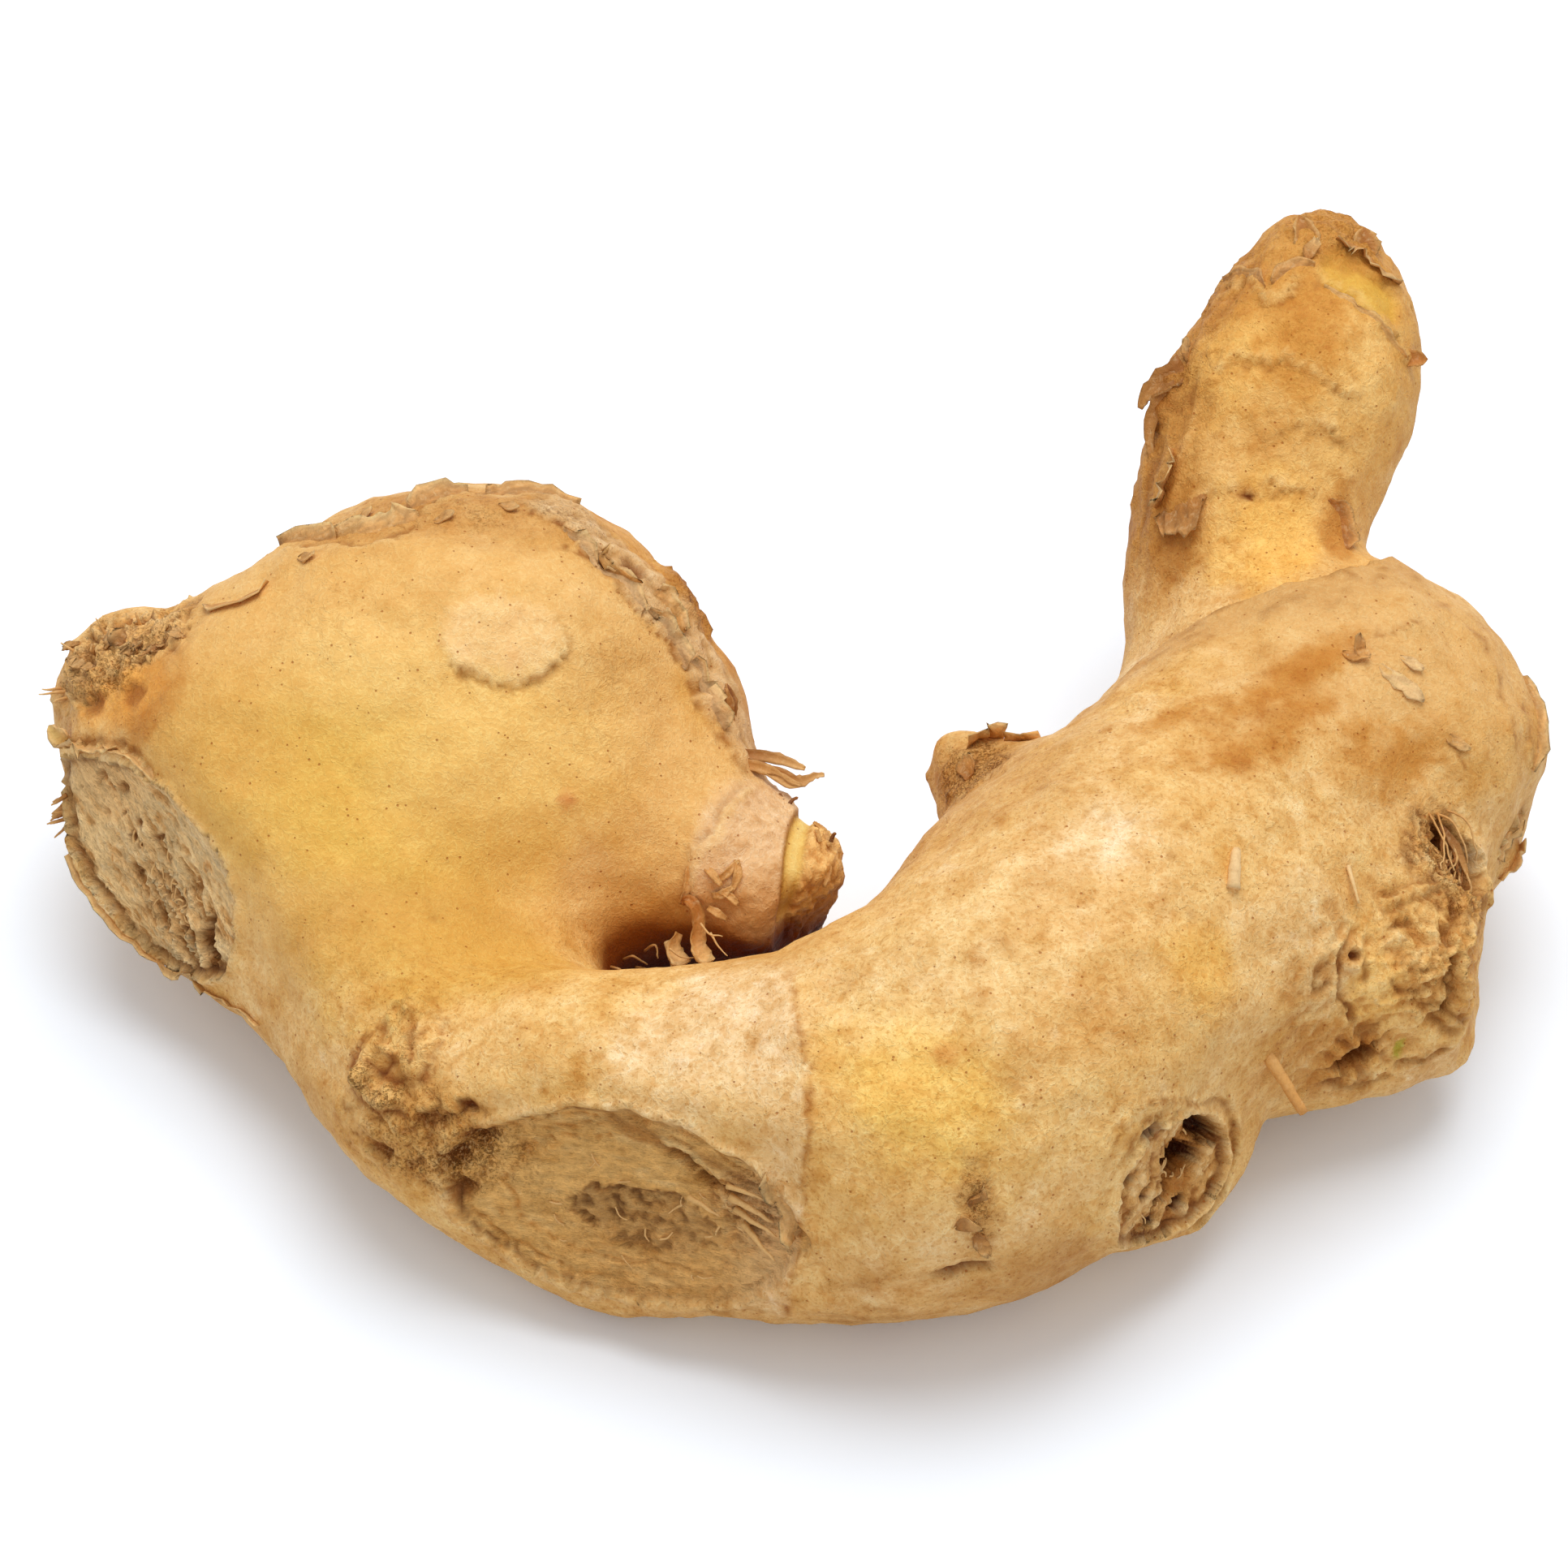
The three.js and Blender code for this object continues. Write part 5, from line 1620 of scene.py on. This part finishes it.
def bud_scales(loose):
    """Shreds on the bud's sheath, its torn tip, and the curled scale in the fold beside it."""
    facing = (0.4, -0.6, 0.7)
    tan = (220, 156, 80)
    for line, widths in [
        ([(1.2, -4.4, 18.8), (2, -5.2, 18.6), (2.5, -6.4, 18)], (0.2, 0.5, 0.3)),
        ([(2.2, -7.4, 18), (2.4, -8.6, 17.4), (2, -9.8, 16.8)], (0.3, 0.5, 0.3)),
        ([(1.4, -5.6, 19.1), (1.7, -6.8, 18.9)], (0.3, 0.4)),
        ([(1.5, -8.6, 18.2), (1.6, -9.8, 17.5)], (0.3, 0.4)),
    ]:
        loose.ribbon(line, widths, facing, tan, (240, 190, 118), 0.18, 0.5)
    dark = [
        [(2.6, -6, 18.2), (2.9, -5.7, 18.5), (3.1, -5.8, 18.7)],
        [(-1.2, -2.8, 19.3), (-1.4, -2.3, 19.8), (-1.2, -2, 20)],
        [(-0.9, -3, 19.4), (-0.6, -2.5, 19.6), (-0.2, -2.4, 19.8)],
    ]
    loose.strands(dark, 0.4, 0.6, (120, 70, 30), (170, 110, 54), kink=0.6)
    shreds = [
        [(-7.5, -11, 20.1), (-7, -11.6, 20), (-6.3, -12.1, 19.3)],
        [(-6.8, -11.8, 19.4), (-5.8, -11.2, 20), (-5, -10.4, 20.4)],
        [(-5.1, -10.3, 20.4), (-5, -11.4, 19.8), (-5.6, -12.4, 18.8)],
        [(-6.4, -12.3, 18.9), (-5.6, -12.7, 18.6), (-5, -13, 18)],
        [(-7.4, -13, 17.6), (-6.6, -13.5, 17.5), (-5.9, -13.5, 16.8)],
        [(-7, -12.4, 18.4), (-6.2, -12.5, 18.8), (-5.4, -12.1, 19.2)],
        [(-9, -10.6, 20), (-9.1, -11.8, 18.9), (-9.5, -12.3, 17.9)],
    ]
    for line in shreds:
        loose.ribbon(line, (0.5, 0.7, 0.3), facing, (226, 160, 84), (246, 194, 122), 0.2, 0.4)
    curl = [
        (-9.5, -12.3, 17.7), (-8.8, -12.9, 18.2), (-8.3, -13.6, 16.9), (-8.4, -15, 15.3),
        (-7.9, -17.4, 15.8),
    ]
    loose.ribbon(curl, (0.4, 1.1, 1.1, 1.4, 1.9), facing, (196, 112, 40), (248, 198, 124), 0.22, 0.7)
    loose.ribbon(
        [(-9.8, -13.5, 15.2), (-10.3, -14.6, 14.5), (-9.6, -16.4, 14.4)], (0.5, 1.3, 1.7), facing,
        (226, 162, 84), (250, 206, 136), 0.22, 0.5,
    )


def notch_scales(loose):
    """Torn strips in the notch and thin scale edges at the far right."""
    brown, tan = (150, 92, 40), (226, 166, 94)
    facing = (0.4, -0.7, 0.5)
    start, end = np.array((51.2, -9.6, 24.8)), np.array((55, -12.8, 19.8))
    for _ in range(14):
        a, c = loose.random.uniform(0, 1, 2)
        root = start + (end - start) * 0.6 * a + (0, 0.2, 0)
        foot = start + (end - start) * (0.45 + 0.55 * c) + (-1.2, -2.2, 0.3)
        middle = (root + foot) / 2 + np.array(facing) * loose.random.uniform(-0.6, 0.8)
        shade = ((176, 112, 52), (214, 152, 82), (232, 180, 110))[int(loose.random.integers(3))]
        loose.strand([root, middle, foot], loose.random.uniform(0.2, 0.4), 0.6, shade, shade, 5, 0.8)
    loose.ribbon(
        [(51.6, -10, 24), (52.8, -11.4, 23), (53.8, -13.2, 21.4)], (0.4, 0.8, 0.3), facing, brown, tan,
        0.2, 0.5,
    )
    loose.scale(
        [(57.4, -7.2, 17.4), (58.8, -4.4, 17.8), (60.2, -1.4, 16.8)], 1.2, 0.7, 1, tan, STRAW, 0.2, 0.14,
        0.2,
    )
    loose.scale(
        [(57.6, -7, 14.6), (59.2, -4, 14), (60.3, -1.2, 12.8)], 1.1, 0.6, -1, (208, 146, 76), STRAW, 0.2,
        0.14, 0.2,
    )


def end_scales(loose):
    """Crumbs and scales of the broken left end and along the cut face's rim."""
    for _ in range(22):
        a, c = loose.random.uniform(-1, 1, 2)
        spot = np.array((-56.5, 9, 26.5)) + a * np.array((5.5, -2, 3.5)) + c * np.array((-3, 4, -3))
        way = unit(loose.random.uniform(-1, 1, 3) + (-0.5, 0, 0.5))
        size = loose.random.uniform(0.9, 1.8)
        shade = ((212, 160, 96), (170, 110, 52), (196, 140, 76))[int(loose.random.integers(3))]
        loose.chip(spot, size, size * 0.6, way, size * 0.45, shade, (226, 176, 110), 0.12)
    for line, width, rise in [
        ([(-61.2, 3.6, 19.8), (-59.4, 1.4, 21.9), (-57.4, 0, 23.4), (-55.6, -1.4, 24.2)], 0.9, 0.5),
        ([(-57, -0.4, 24), (-54.4, -2.4, 24.7), (-51.6, -5.2, 24.4)], 0.7, 0.4),
    ]:
        loose.scale(line, width, rise, 1, (222, 168, 100), STRAW, 0.2, 0.14, 0.3)
    for line, width, rise in [
        ([(-60.4, -2.4, 13.2), (-58.2, -6, 10.4), (-54.5, -9.6, 8.4), (-51, -12.6, 8.4)], 0.8, 0.5),
        ([(-52, -12, 8), (-48.8, -14.6, 9.2), (-46.3, -17.2, 10.2), (-43.5, -20.6, 11.8)], 0.8, 0.4),
    ]:
        loose.scale(line, width, rise, -1, (220, 166, 98), STRAW, 0.2, 0.14, 0.12)
    loose.leaf(
        (-60.6, 3.4, 20.2), (-62.3, 4.8, 21), 1.5, 0.6, 0.5, (-0.4, -0.6, 0.6), (240, 200, 118), STRAW,
        0.5,
    )


def fibres(loose):
    """Torn fibres: at the end of the lobe's ring, in the notch, on the cut faces and in the crack."""
    facing = (0.2, -0.6, 0.75)
    brown, pale = (170, 106, 46), (244, 196, 128)
    loose.ribbon(
        [(-5, 0.8, 21.6), (-2.8, 0.7, 21.4), (-0.8, 0.3, 21), (0.5, 0, 20.6)], (0.9, 1.0, 0.8, 0.3),
        facing, brown, pale, 0.3, 0.5,
    )
    loose.ribbon(
        [(-4.4, 0.1, 21.2), (-1.8, -0.4, 20.6), (0, -0.9, 20), (1.3, -0.5, 20.3), (2.1, -0.5, 20.4)],
        (0.9, 0.8, 1.0, 0.6, 0.3), facing, brown, pale, 0.3, 0.5,
    )
    loose.ribbon(
        [(-4.6, 0, 21.2), (-2.6, -0.4, 20.8), (-1, -1.1, 20.1), (0.2, -1.2, 19.9)], (0.9, 0.9, 0.9, 0.4),
        facing, (200, 136, 66), pale, 0.3, 0.5,
    )
    loose.ribbon(
        [(-5.8, 2.8, 22.8), (-5.7, 3.9, 24.4), (-6, 4.6, 25.4)], (0.9, 0.7, 0.2), facing, brown,
        (206, 146, 80), 0.3, 0.4,
    )
    curls = [
        [(-8, -14.3, 17.2), (-7.2, -15.2, 16.8), (-6.2, -15.4, 16.9)],
        [(-7.2, -14.6, 16.4), (-6.6, -15.6, 16), (-5.8, -16.4, 15.6)],
        [(-10.5, -15.5, 15.5), (-9.6, -16, 15), (-8.6, -15.9, 14.9)],
    ]
    loose.strands(curls, 0.22, 0.4, (236, 186, 118), pale, kink=0.3)
    over_notch = [
        [(51, -9.2, 24.8), (52.6, -10.6, 25), (53.8, -12.4, 22.4)],
        [(52, -8.6, 24.6), (53.8, -10, 24.6), (54.6, -12, 22)],
        [(50.2, -11.2, 24), (51.6, -13, 23.4), (52.6, -14.6, 21.8)],
        [(50.6, -9.6, 25.2), (51.5, -11.4, 24.6), (52.6, -13.6, 22.6)],
        [(51.4, -9.4, 25), (51.8, -12, 24.2), (51.2, -14.4, 23.6)],
    ]
    loose.strands(over_notch, 0.2, 0.7, (214, 152, 82), (240, 192, 124), kink=0.5)
    for spot, way, length in [
        ((-61.8, 8.6, 21.4), (-1, -0.1, 0), 2.2),
        ((-61.9, 9.4, 20.8), (-1, 0, -0.1), 1.6),
        ((-61.6, 7.6, 21.2), (-1, -0.2, -0.3), 1.2),
        ((-59, 12, 25.6), (-0.5, 0.4, 0.7), 1.4),
        ((-55.5, 11, 28.5), (-0.3, 0.2, 0.9), 1.2),
        ((-60.6, 11.8, 22.6), (-0.8, 0.3, 0.5), 1.5),
    ]:
        loose.hair(spot, way, length, 0.35, (214, 150, 78), STRAW)
    # The ragged tuft at the left edge of the cut face.
    for _ in range(12):
        spot = np.array((-61, 1, 15)) + loose.random.uniform(-1, 1, 3) * (0.4, 1.2, 1.6)
        way = (-0.8, -0.1, loose.random.uniform(-0.9, 0.1))
        loose.hair(spot, way, loose.random.uniform(0.8, 2.0), 0.4, (176, 116, 54), (226, 176, 108))
    # Splinters of the crack, lying across it.
    for start, end, thick in [
        ((-5.4, -43.4, 17.6), (-2, -44.8, 16.4), 0.7),
        ((-5, -43.6, 16.4), (-1.8, -45.4, 15.2), 0.6),
        ((-4.4, -44, 15.2), (-2, -46.2, 13.2), 0.6),
        ((-5.6, -43.2, 18.6), (-2.6, -44.2, 18.3), 0.5),
        ((-8.6, -42.9, 17), (-6, -43.8, 15.6), 0.5),
    ]:
        middle = (np.array(start) + np.array(end)) / 2 + np.array((0, -0.25, 0.25))
        loose.strand([start, middle, end], thick, 0.3, (230, 180, 110), pale, kink=0.3)
    # Short fibres on the cut faces.
    for centre, normal, spread, count in [
        ((-13, -41.8, 13), (-0.3, -0.91, 0.27), 9, 18),
        ((-53, -7.5, 16), (-0.64, -0.68, 0.34), 6, 26),
        ((29, -38, 14), (0.79, -0.6, 0.11), 4, 10),
    ]:
        side = unit(np.cross(normal, (0, 0, 1)))
        up = np.cross(side, unit(normal))
        for _ in range(count):
            a, c = loose.random.uniform(-1, 1, 2) * spread
            spot = np.array(centre) + side * a + up * c * 0.5
            home, out = loose.surface.nearest(spot)
            way = unit(side * loose.random.uniform(-1, 1) + up * loose.random.uniform(-1, 1) + out * 0.12)
            length = loose.random.uniform(0.6, 1.5)
            bend = home + way * length * 0.5 + out * 0.1
            line = [home - out * 0.1, bend, home + way * length - out * 0.02]
            loose.strand(line, loose.random.uniform(0.14, 0.26), 0.5, (232, 186, 120), pale, 5, kink=0.3)


def roots(loose):
    """Stubs of roots: pale pegs and hair roots."""
    loose.strand(
        [(36.4, -29.2, 18.6), (37, -30.4, 18.4), (38, -31.6, 17.4), (39.6, -33, 15.4)], 1.1, 0.75,
        (238, 188, 116), (226, 160, 84), 8, 0.2,
    )
    loose.strand(
        [(34, -20.2, 31.7), (33.8, -21.8, 31.9), (33.6, -23.6, 31)], 0.75, 1.5, (246, 206, 146),
        (246, 206, 146), 8,
    )
    loose.strand(
        [(43.3, -17.6, 27.3), (43.6, -19, 26.9), (44, -20.4, 26)], 0.4, 0.6, (246, 206, 146), STRAW, 8,
    )
    loose.strand(
        [(-9.6, -16.6, 13.4), (-10.1, -15, 13.6), (-10.8, -13.6, 14.3)], 1.5, 0.35, (246, 200, 132),
        STRAW, 8,
    )
    hair_roots = [
        [(-14.4, -13.6, 12.2), (-13.4, -14, 13), (-12.4, -14, 12)],
        [(-13.4, -13.4, 11), (-12.4, -14.2, 11.6), (-11.6, -14.4, 10.8)],
        [(-15.4, -14.8, 12.6), (-14.6, -15.4, 12.8), (-13.6, -15.6, 12)],
        [(-12.6, -13.2, 12.8), (-11.8, -13.6, 13.8), (-11.4, -14.4, 13)],
    ]
    loose.strands(hair_roots, 0.28, 0.5, (190, 124, 60), (236, 186, 118), kink=0.4)


LOOSE_PIECES = (
    ("node_ring_scales", node_ring_scales, "dry_scale", 301),
    ("lobe_flakes", lobe_flakes, "dry_scale", 302),
    ("finger_scales", finger_scales, "dry_scale", 303),
    ("bud_scales", bud_scales, "dry_scale", 304),
    ("notch_scales", notch_scales, "dry_scale", 305),
    ("end_scales", end_scales, "dry_scale", 306),
    ("torn_fibres", fibres, "root_fibre", 307),
    ("root_stubs", roots, "root_fibre", 308),
)


def loose_pieces(mesh):
    """All the small pieces that stand off the skin."""
    surface = Surface(mesh)
    materials = {"dry_scale": scale_material(), "root_fibre": fibre_material()}
    for name, fill, slot, seed in LOOSE_PIECES:
        loose = Loose(surface, seed)
        fill(loose)
        loose.piece(name, materials[slot], slot)


# ------------------------------------------------------------------------------------------ materials

REFRACTION = 1.42  # of dry plant matter
PORE_SPACING = 0.8
# What the tint is multiplied by.
DULL = (0.88, 0.8, 0.67, 1.0)
BRIGHT = (1.06, 1.15, 1.27, 1.0)
# Painted shade between curled fibres.
FIBRE_GAP_SHADE = (0.78, 0.66, 0.48, 1.0)  # between curled fibres
SPECKED = (0.76, 0.64, 0.48, 1.0)
PALE_FIBRE = (1.09, 1.23, 1.42, 1.0)


class Shader:
    """Short ways to write a node tree."""

    def __init__(self, name):
        self.material = bpy.data.materials.new(name)
        self.material.use_nodes = True
        self.tree = self.material.node_tree
        self.tree.nodes.clear()
        self.output = self.tree.nodes.new("ShaderNodeOutputMaterial")

    def node(self, kind, settings=None, **inputs):
        """A node. Its inputs are named with _ for a space, and take a number, a colour or an output."""
        made = self.tree.nodes.new("ShaderNode" + kind)
        for key, value in (settings or {}).items():
            setattr(made, key, value)
        for key, value in inputs.items():
            self.feed(made.inputs[key.replace("_", " ")], value)
        return made

    def feed(self, socket, value):
        if isinstance(value, bpy.types.NodeSocket):
            self.tree.links.new(value, socket)
        else:
            socket.default_value = value

    def joined(self, kind, settings, values, sockets=None):
        """A node whose inputs are filled by their order, or by the given names or numbers."""
        made = self.node(kind, settings)
        for socket, value in zip(sockets or range(len(values)), values):
            self.feed(made.inputs[socket], value)
        return made

    def sum(self, operation, *values):
        """One step of arithmetic."""
        return self.joined("Math", {"operation": operation}, values).outputs[0]

    def times(self, one, other):
        return self.sum("MULTIPLY", one, other)

    def vector(self, operation, *values):
        """One step of arithmetic with vectors."""
        return self.joined("VectorMath", {"operation": operation}, values).outputs[0]

    def ramp(self, value, low, high, floor=0.0, top=1.0):
        """The value's way from low to high, as floor to top, held at both ends."""
        sockets = ("Value", "From Min", "From Max", "To Min", "To Max")
        smooth_step = {"interpolation_type": "SMOOTHSTEP"}
        return self.joined(
            "MapRange", smooth_step, (value, low, high, floor, top), sockets,
        ).outputs["Result"]

    def blend(self, share, low, high, how="MIX"):
        """A mix of two colours."""
        settings = {"data_type": "RGBA", "blend_type": how}
        return self.joined("Mix", settings, (share, low, high), (0, 6, 7)).outputs[2]

    def attribute(self, name, output="Fac"):
        return self.node("Attribute", {"attribute_name": name}).outputs[output]

    def places(self):
        """Where the surface point is, in millimetres."""
        where = self.node("TexCoord").outputs["Object"]
        return self.node("VectorMath", {"operation": "SCALE"}, Vector=where, Scale=1 / MM).outputs[0]

    def bent(self, where, size, reach):
        """The same places, pushed about by a noise, so that what is drawn on them curls."""
        push = self.node("TexNoise", Vector=where, Scale=1 / size, Detail=0.0).outputs["Color"]
        middle = self.vector("SUBTRACT", push, (0.5, 0.5, 0.5))
        return self.vector("MULTIPLY_ADD", middle, (reach * 2, reach * 2, reach * 2), where)

    def off_mean(self, value):
        """How far a noise is from its mean."""
        return self.sum("ABSOLUTE", self.sum("SUBTRACT", value, 0.5))

    def noise(self, where, size, detail=2.0, roughness=0.55, distortion=0.0):
        look = {"Detail": detail, "Roughness": roughness, "Distortion": distortion}
        return self.node("TexNoise", Vector=where, Scale=1 / size, **look).outputs["Fac"]

    def coat(self, colour, height, roughness, **more):
        """A dry organic surface. Height is in millimetres."""
        bump = self.node("Bump", Height=height, Distance=MM, Strength=1.0).outputs[0]
        return self.node(
            "BsdfPrincipled", Base_Color=colour, Normal=bump, Roughness=roughness, IOR=REFRACTION, **more
        )

    def finish(self, node):
        """Shows what a node gives, and hands over the material."""
        self.tree.links.new(node.outputs[0], self.output.inputs[0])
        return self.material


def linear(colour):
    """An sRGB colour out of 255 as the shader wants it."""
    return (*((channel / 255) ** GAMMA for channel in colour), 1.0)


def skin_material():
    """Thin dry skin: a felt of curled fibres, small pores, scaly flecks, and fibrous cut faces."""
    shader = Shader("rhizome_skin")
    where = shader.places()
    bark, cut, felt = (shader.attribute(name) for name in ("bark", "cut", "felt"))
    tint = shader.attribute("tint", "Color")

    # Curled fibres: soft ridges where distorted noises cross their mean, with brown painted shade in the
    # gaps between.
    bent = shader.bent(where, 0.9, 0.4)
    off = shader.off_mean(shader.noise(bent, 1.0, 2.0, 0.55))
    thin_off = shader.off_mean(shader.noise(bent, 0.5, 1.0, 0.5))
    cloud = shader.noise(where, 2.3, 4.0, 0.66)
    fine = shader.noise(where, 0.28, 2.0, 0.7)
    curl = shader.times(shader.ramp(off, 0.0, 0.11, 1.0, 0.0), felt)
    thread = shader.times(
        shader.ramp(thin_off, 0.0, 0.09, 1.0, 0.0), shader.ramp(fine, 0.3, 0.6, 0.25, 1.0),
    )
    gap = shader.times(shader.ramp(off, 0.07, 0.2), felt)

    # Pores: some of the scattered points, each a little dark dip.
    cells = shader.node("TexVoronoi", Vector=where, Scale=1 / PORE_SPACING)
    chance = shader.node("SeparateColor", Color=cells.outputs["Color"]).outputs[0]
    crowd = shader.sum("ADD", chance, shader.ramp(cloud, 0.3, 0.7, -0.25, 0.2))
    size = shader.ramp(crowd, 0.0, 0.9, 0.0, 0.13)
    pore = shader.ramp(shader.sum("SUBTRACT", cells.outputs["Distance"], size), -0.04, 0.02, 1.0, 0.0)

    # Flecks where the skin is scaly, and grit where it is scalier still or cut.
    scaly = shader.noise(bent, 0.9, 3.0, 0.72)
    fleck = shader.times(shader.ramp(scaly, 0.5, 0.7), shader.ramp(bark, 0.2, 1.6, 0.1, 1.0))
    rough = shader.ramp(shader.sum("ADD", bark, shader.times(cut, 0.7)), 0.6, 2.2)
    grit = shader.times(shader.ramp(fine, 0.5, 0.66), rough)
    light = shader.times(shader.ramp(fine, 0.47, 0.34), rough)

    # Fibres of a cut face, long along its grain.
    fibre = shader.noise(shader.attribute("grain", "Vector"), 0.5, 3.0, 0.75)
    dim = shader.ramp(fibre, 0.3, 0.72, 0.76, 1.22)
    grey = shader.node("CombineColor", Red=dim, Green=dim, Blue=dim).outputs[0]

    # The finer colours are shares of the tint, so that a dark patch, stains and painted shade alike, stays
    # as dark as it is painted.
    busy = shader.ramp(felt, 0.05, 0.3, 0.4, 1.0)
    colour = tint
    for share, factor in (
        (shader.times(busy, shader.ramp(cloud, 0.45, 0.72)), DULL),
        (shader.times(busy, shader.ramp(cloud, 0.47, 0.27)), BRIGHT),
        # Painted shade in the gaps between curls.
        (shader.times(gap, 0.9), FIBRE_GAP_SHADE),
        (shader.times(busy, shader.ramp(fine, 0.5, 0.75)), SPECKED),
        (shader.times(thread, 0.85), PALE_FIBRE),
        (curl, PALE_FIBRE),
    ):
        colour = shader.blend(share, colour, factor, "MULTIPLY")
    colour = shader.blend(shader.times(fleck, 0.6), colour, linear((142, 82, 30)))
    colour = shader.blend(shader.times(pore, 0.7), colour, linear((176, 88, 20)))
    colour = shader.blend(cut, colour, shader.blend(1.0, tint, grey, "MULTIPLY"))
    colour = shader.blend(shader.times(grit, 0.62), colour, linear((112, 60, 20)))
    colour = shader.blend(shader.times(light, 0.35), colour, linear((255, 222, 160)))

    height = shader.times(curl, 0.05)
    for operation, part, depth in (
        ("ADD", thread, 0.02),
        ("ADD", fine, 0.05),
        ("ADD", cloud, 0.14),
        ("SUBTRACT", pore, 0.06),
        ("ADD", scaly, shader.ramp(bark, 0.0, 2.0, 0.08, 0.7)),
        ("SUBTRACT", grit, 0.25),
        ("ADD", shader.times(fibre, cut), 0.7),
    ):
        height = shader.sum(operation, height, shader.times(part, depth))
    shine = {"Specular_IOR_Level": 0.35, "Specular_Tint": (1.0, 0.84, 0.62, 1.0)}
    return shader.finish(shader.coat(colour, height, shader.ramp(cloud, 0.3, 0.7, 0.48, 0.62), **shine))


def thin_material(name, streak, contrast, depth, glow):
    """A dry thin thing, tinted by its points, streaked, and letting some light through."""
    shader = Shader(name)
    tint = shader.attribute("tint", "Color")
    fine = shader.noise(shader.places(), streak, 3.0, 0.7, 0.5)
    colour = shader.blend(shader.ramp(fine, 0.45, 0.75, 0.0, contrast), tint, linear((150, 92, 44)))
    colour = shader.blend(shader.ramp(fine, 0.5, 0.25, 0.0, contrast), colour, linear((255, 226, 172)))
    front = shader.coat(colour, shader.times(fine, depth), 0.55)
    through_it = shader.node("BsdfTranslucent", Color=colour)
    return shader.finish(shader.joined("MixShader", {}, (glow, front.outputs[0], through_it.outputs[0])))


def scale_material():
    return thin_material("dry_paper_scale", 0.55, 0.35, 0.18, 0.18)


def fibre_material():
    return thin_material("dry_root_fibre", 0.4, 0.22, 0.08, 0.1)


# ---------------------------------------------------------------------------------------------- stage


def floor_material():
    """White paper that keeps the shadow. Seen straight, it also gives a little light, so that it reads as
    white; the rhizome gets none of that."""
    shader = Shader("studio_floor")
    path = shader.node("LightPath").outputs
    colour = shader.blend(path["Is Camera Ray"], FLOOR_LIT, FLOOR_SEEN)
    diffuse = shader.node("BsdfDiffuse", Color=colour).outputs[0]
    seen = shader.sum("MAXIMUM", path["Is Camera Ray"], path["Is Glossy Ray"])
    away = shader.node("VectorMath", {"operation": "LENGTH"}, Vector=shader.places()).outputs["Value"]
    strength = shader.ramp(away, FLOOR_NEAR, FLOOR_FAR, FLOOR_GLOW, FLOOR_FAR_GLOW)
    glow = shader.node("Emission", Color=WHITE, Strength=shader.times(seen, strength)).outputs[0]
    return shader.finish(shader.joined("AddShader", {}, (diffuse, glow)))


WHITE = (1, 1, 1, 1)
FLOOR_GLOW = 0.02  # near the rhizome
FLOOR_FAR_GLOW = 0.6  # far off, where the lamps hardly reach
FLOOR_NEAR = 200  # millimetres from the middle
FLOOR_FAR = 1400
FLOOR_LIT = (0.72, 0.72, 0.72, 1.0)  # what it throws back on the rhizome
FLOOR_SEEN = (1.0, 1.07, 1.16, 1.0)  # cool, so that its shadow is a plain grey
FLOOR_SIZE = 6.0  # metres
SKY = 0.57  # brightness of the room
LAMPS = (  # name, watts, width and place in metres
    ("overhead", 5.0, 0.8, (0.05, 0.22, 0.85)),
    ("front", 0.5, 0.8, (0.0, -0.75, 0.45)),
)


def stand(name, data, place, turn):
    """Puts a lamp, the camera or the floor in the scene."""
    made = bpy.data.objects.new(name, data)
    made.location = place
    made.rotation_euler = turn
    bpy.context.scene.collection.objects.link(made)
    return made


def floor_sheet():
    mesh = bpy.data.meshes.new("floor")
    half = FLOOR_SIZE / 2
    corners = [(-half, -half, 0), (half, -half, 0), (half, half, 0), (-half, half, 0)]
    mesh.from_pydata(corners, [], [(0, 1, 2, 3)])
    mesh.materials.append(floor_material())
    stand("floor", mesh, (0, 0, 0), (0, 0, 0))


def room():
    """A white room, as bright as SKY to the rhizome and plain white to the camera and in reflections."""
    world = bpy.data.worlds.new("studio")
    bpy.context.scene.world = world
    world.use_nodes = True
    nodes, links = world.node_tree.nodes, world.node_tree.links
    background = nodes["Background"].inputs
    background["Color"].default_value = WHITE
    path = nodes.new("ShaderNodeLightPath").outputs
    seen = nodes.new("ShaderNodeMath")
    seen.operation = "MAXIMUM"
    links.new(path["Is Camera Ray"], seen.inputs[0])
    links.new(path["Is Glossy Ray"], seen.inputs[1])
    level = nodes.new("ShaderNodeMapRange")
    level.inputs["To Min"].default_value = SKY
    level.inputs["To Max"].default_value = 1.0
    links.new(seen.outputs[0], level.inputs["Value"])
    links.new(level.outputs[0], background["Strength"])


def build_stage():
    """The floor, the room, the lamps and the camera."""
    floor_sheet()
    room()
    for name, power, width, place in LAMPS:
        lamp = bpy.data.lights.new(name, "AREA")
        lamp.shape = "DISK"
        lamp.size = width
        lamp.energy = power
        aim = (-Vector(place)).to_track_quat("-Z", "Y").to_euler()
        stand(name, lamp, place, aim)
    camera = bpy.data.cameras.new("camera")
    camera.lens = CAMERA_LENS
    camera.sensor_width = CAMERA_SENSOR
    back = Vector((0, -math.cos(CAMERA_ELEVATION), math.sin(CAMERA_ELEVATION)))
    tilt = (math.pi / 2 - CAMERA_ELEVATION, 0, 0)
    bpy.context.scene.camera = stand("camera", camera, CAMERA_AIM + back * CAMERA_DISTANCE, tilt)
    bpy.context.scene.view_settings.view_transform = "Standard"


build_stage()
skin_piece = add_object("ginger_skin", dressed_skin(), skin_material())
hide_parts(NODE)
loose_pieces(skin_piece.data)
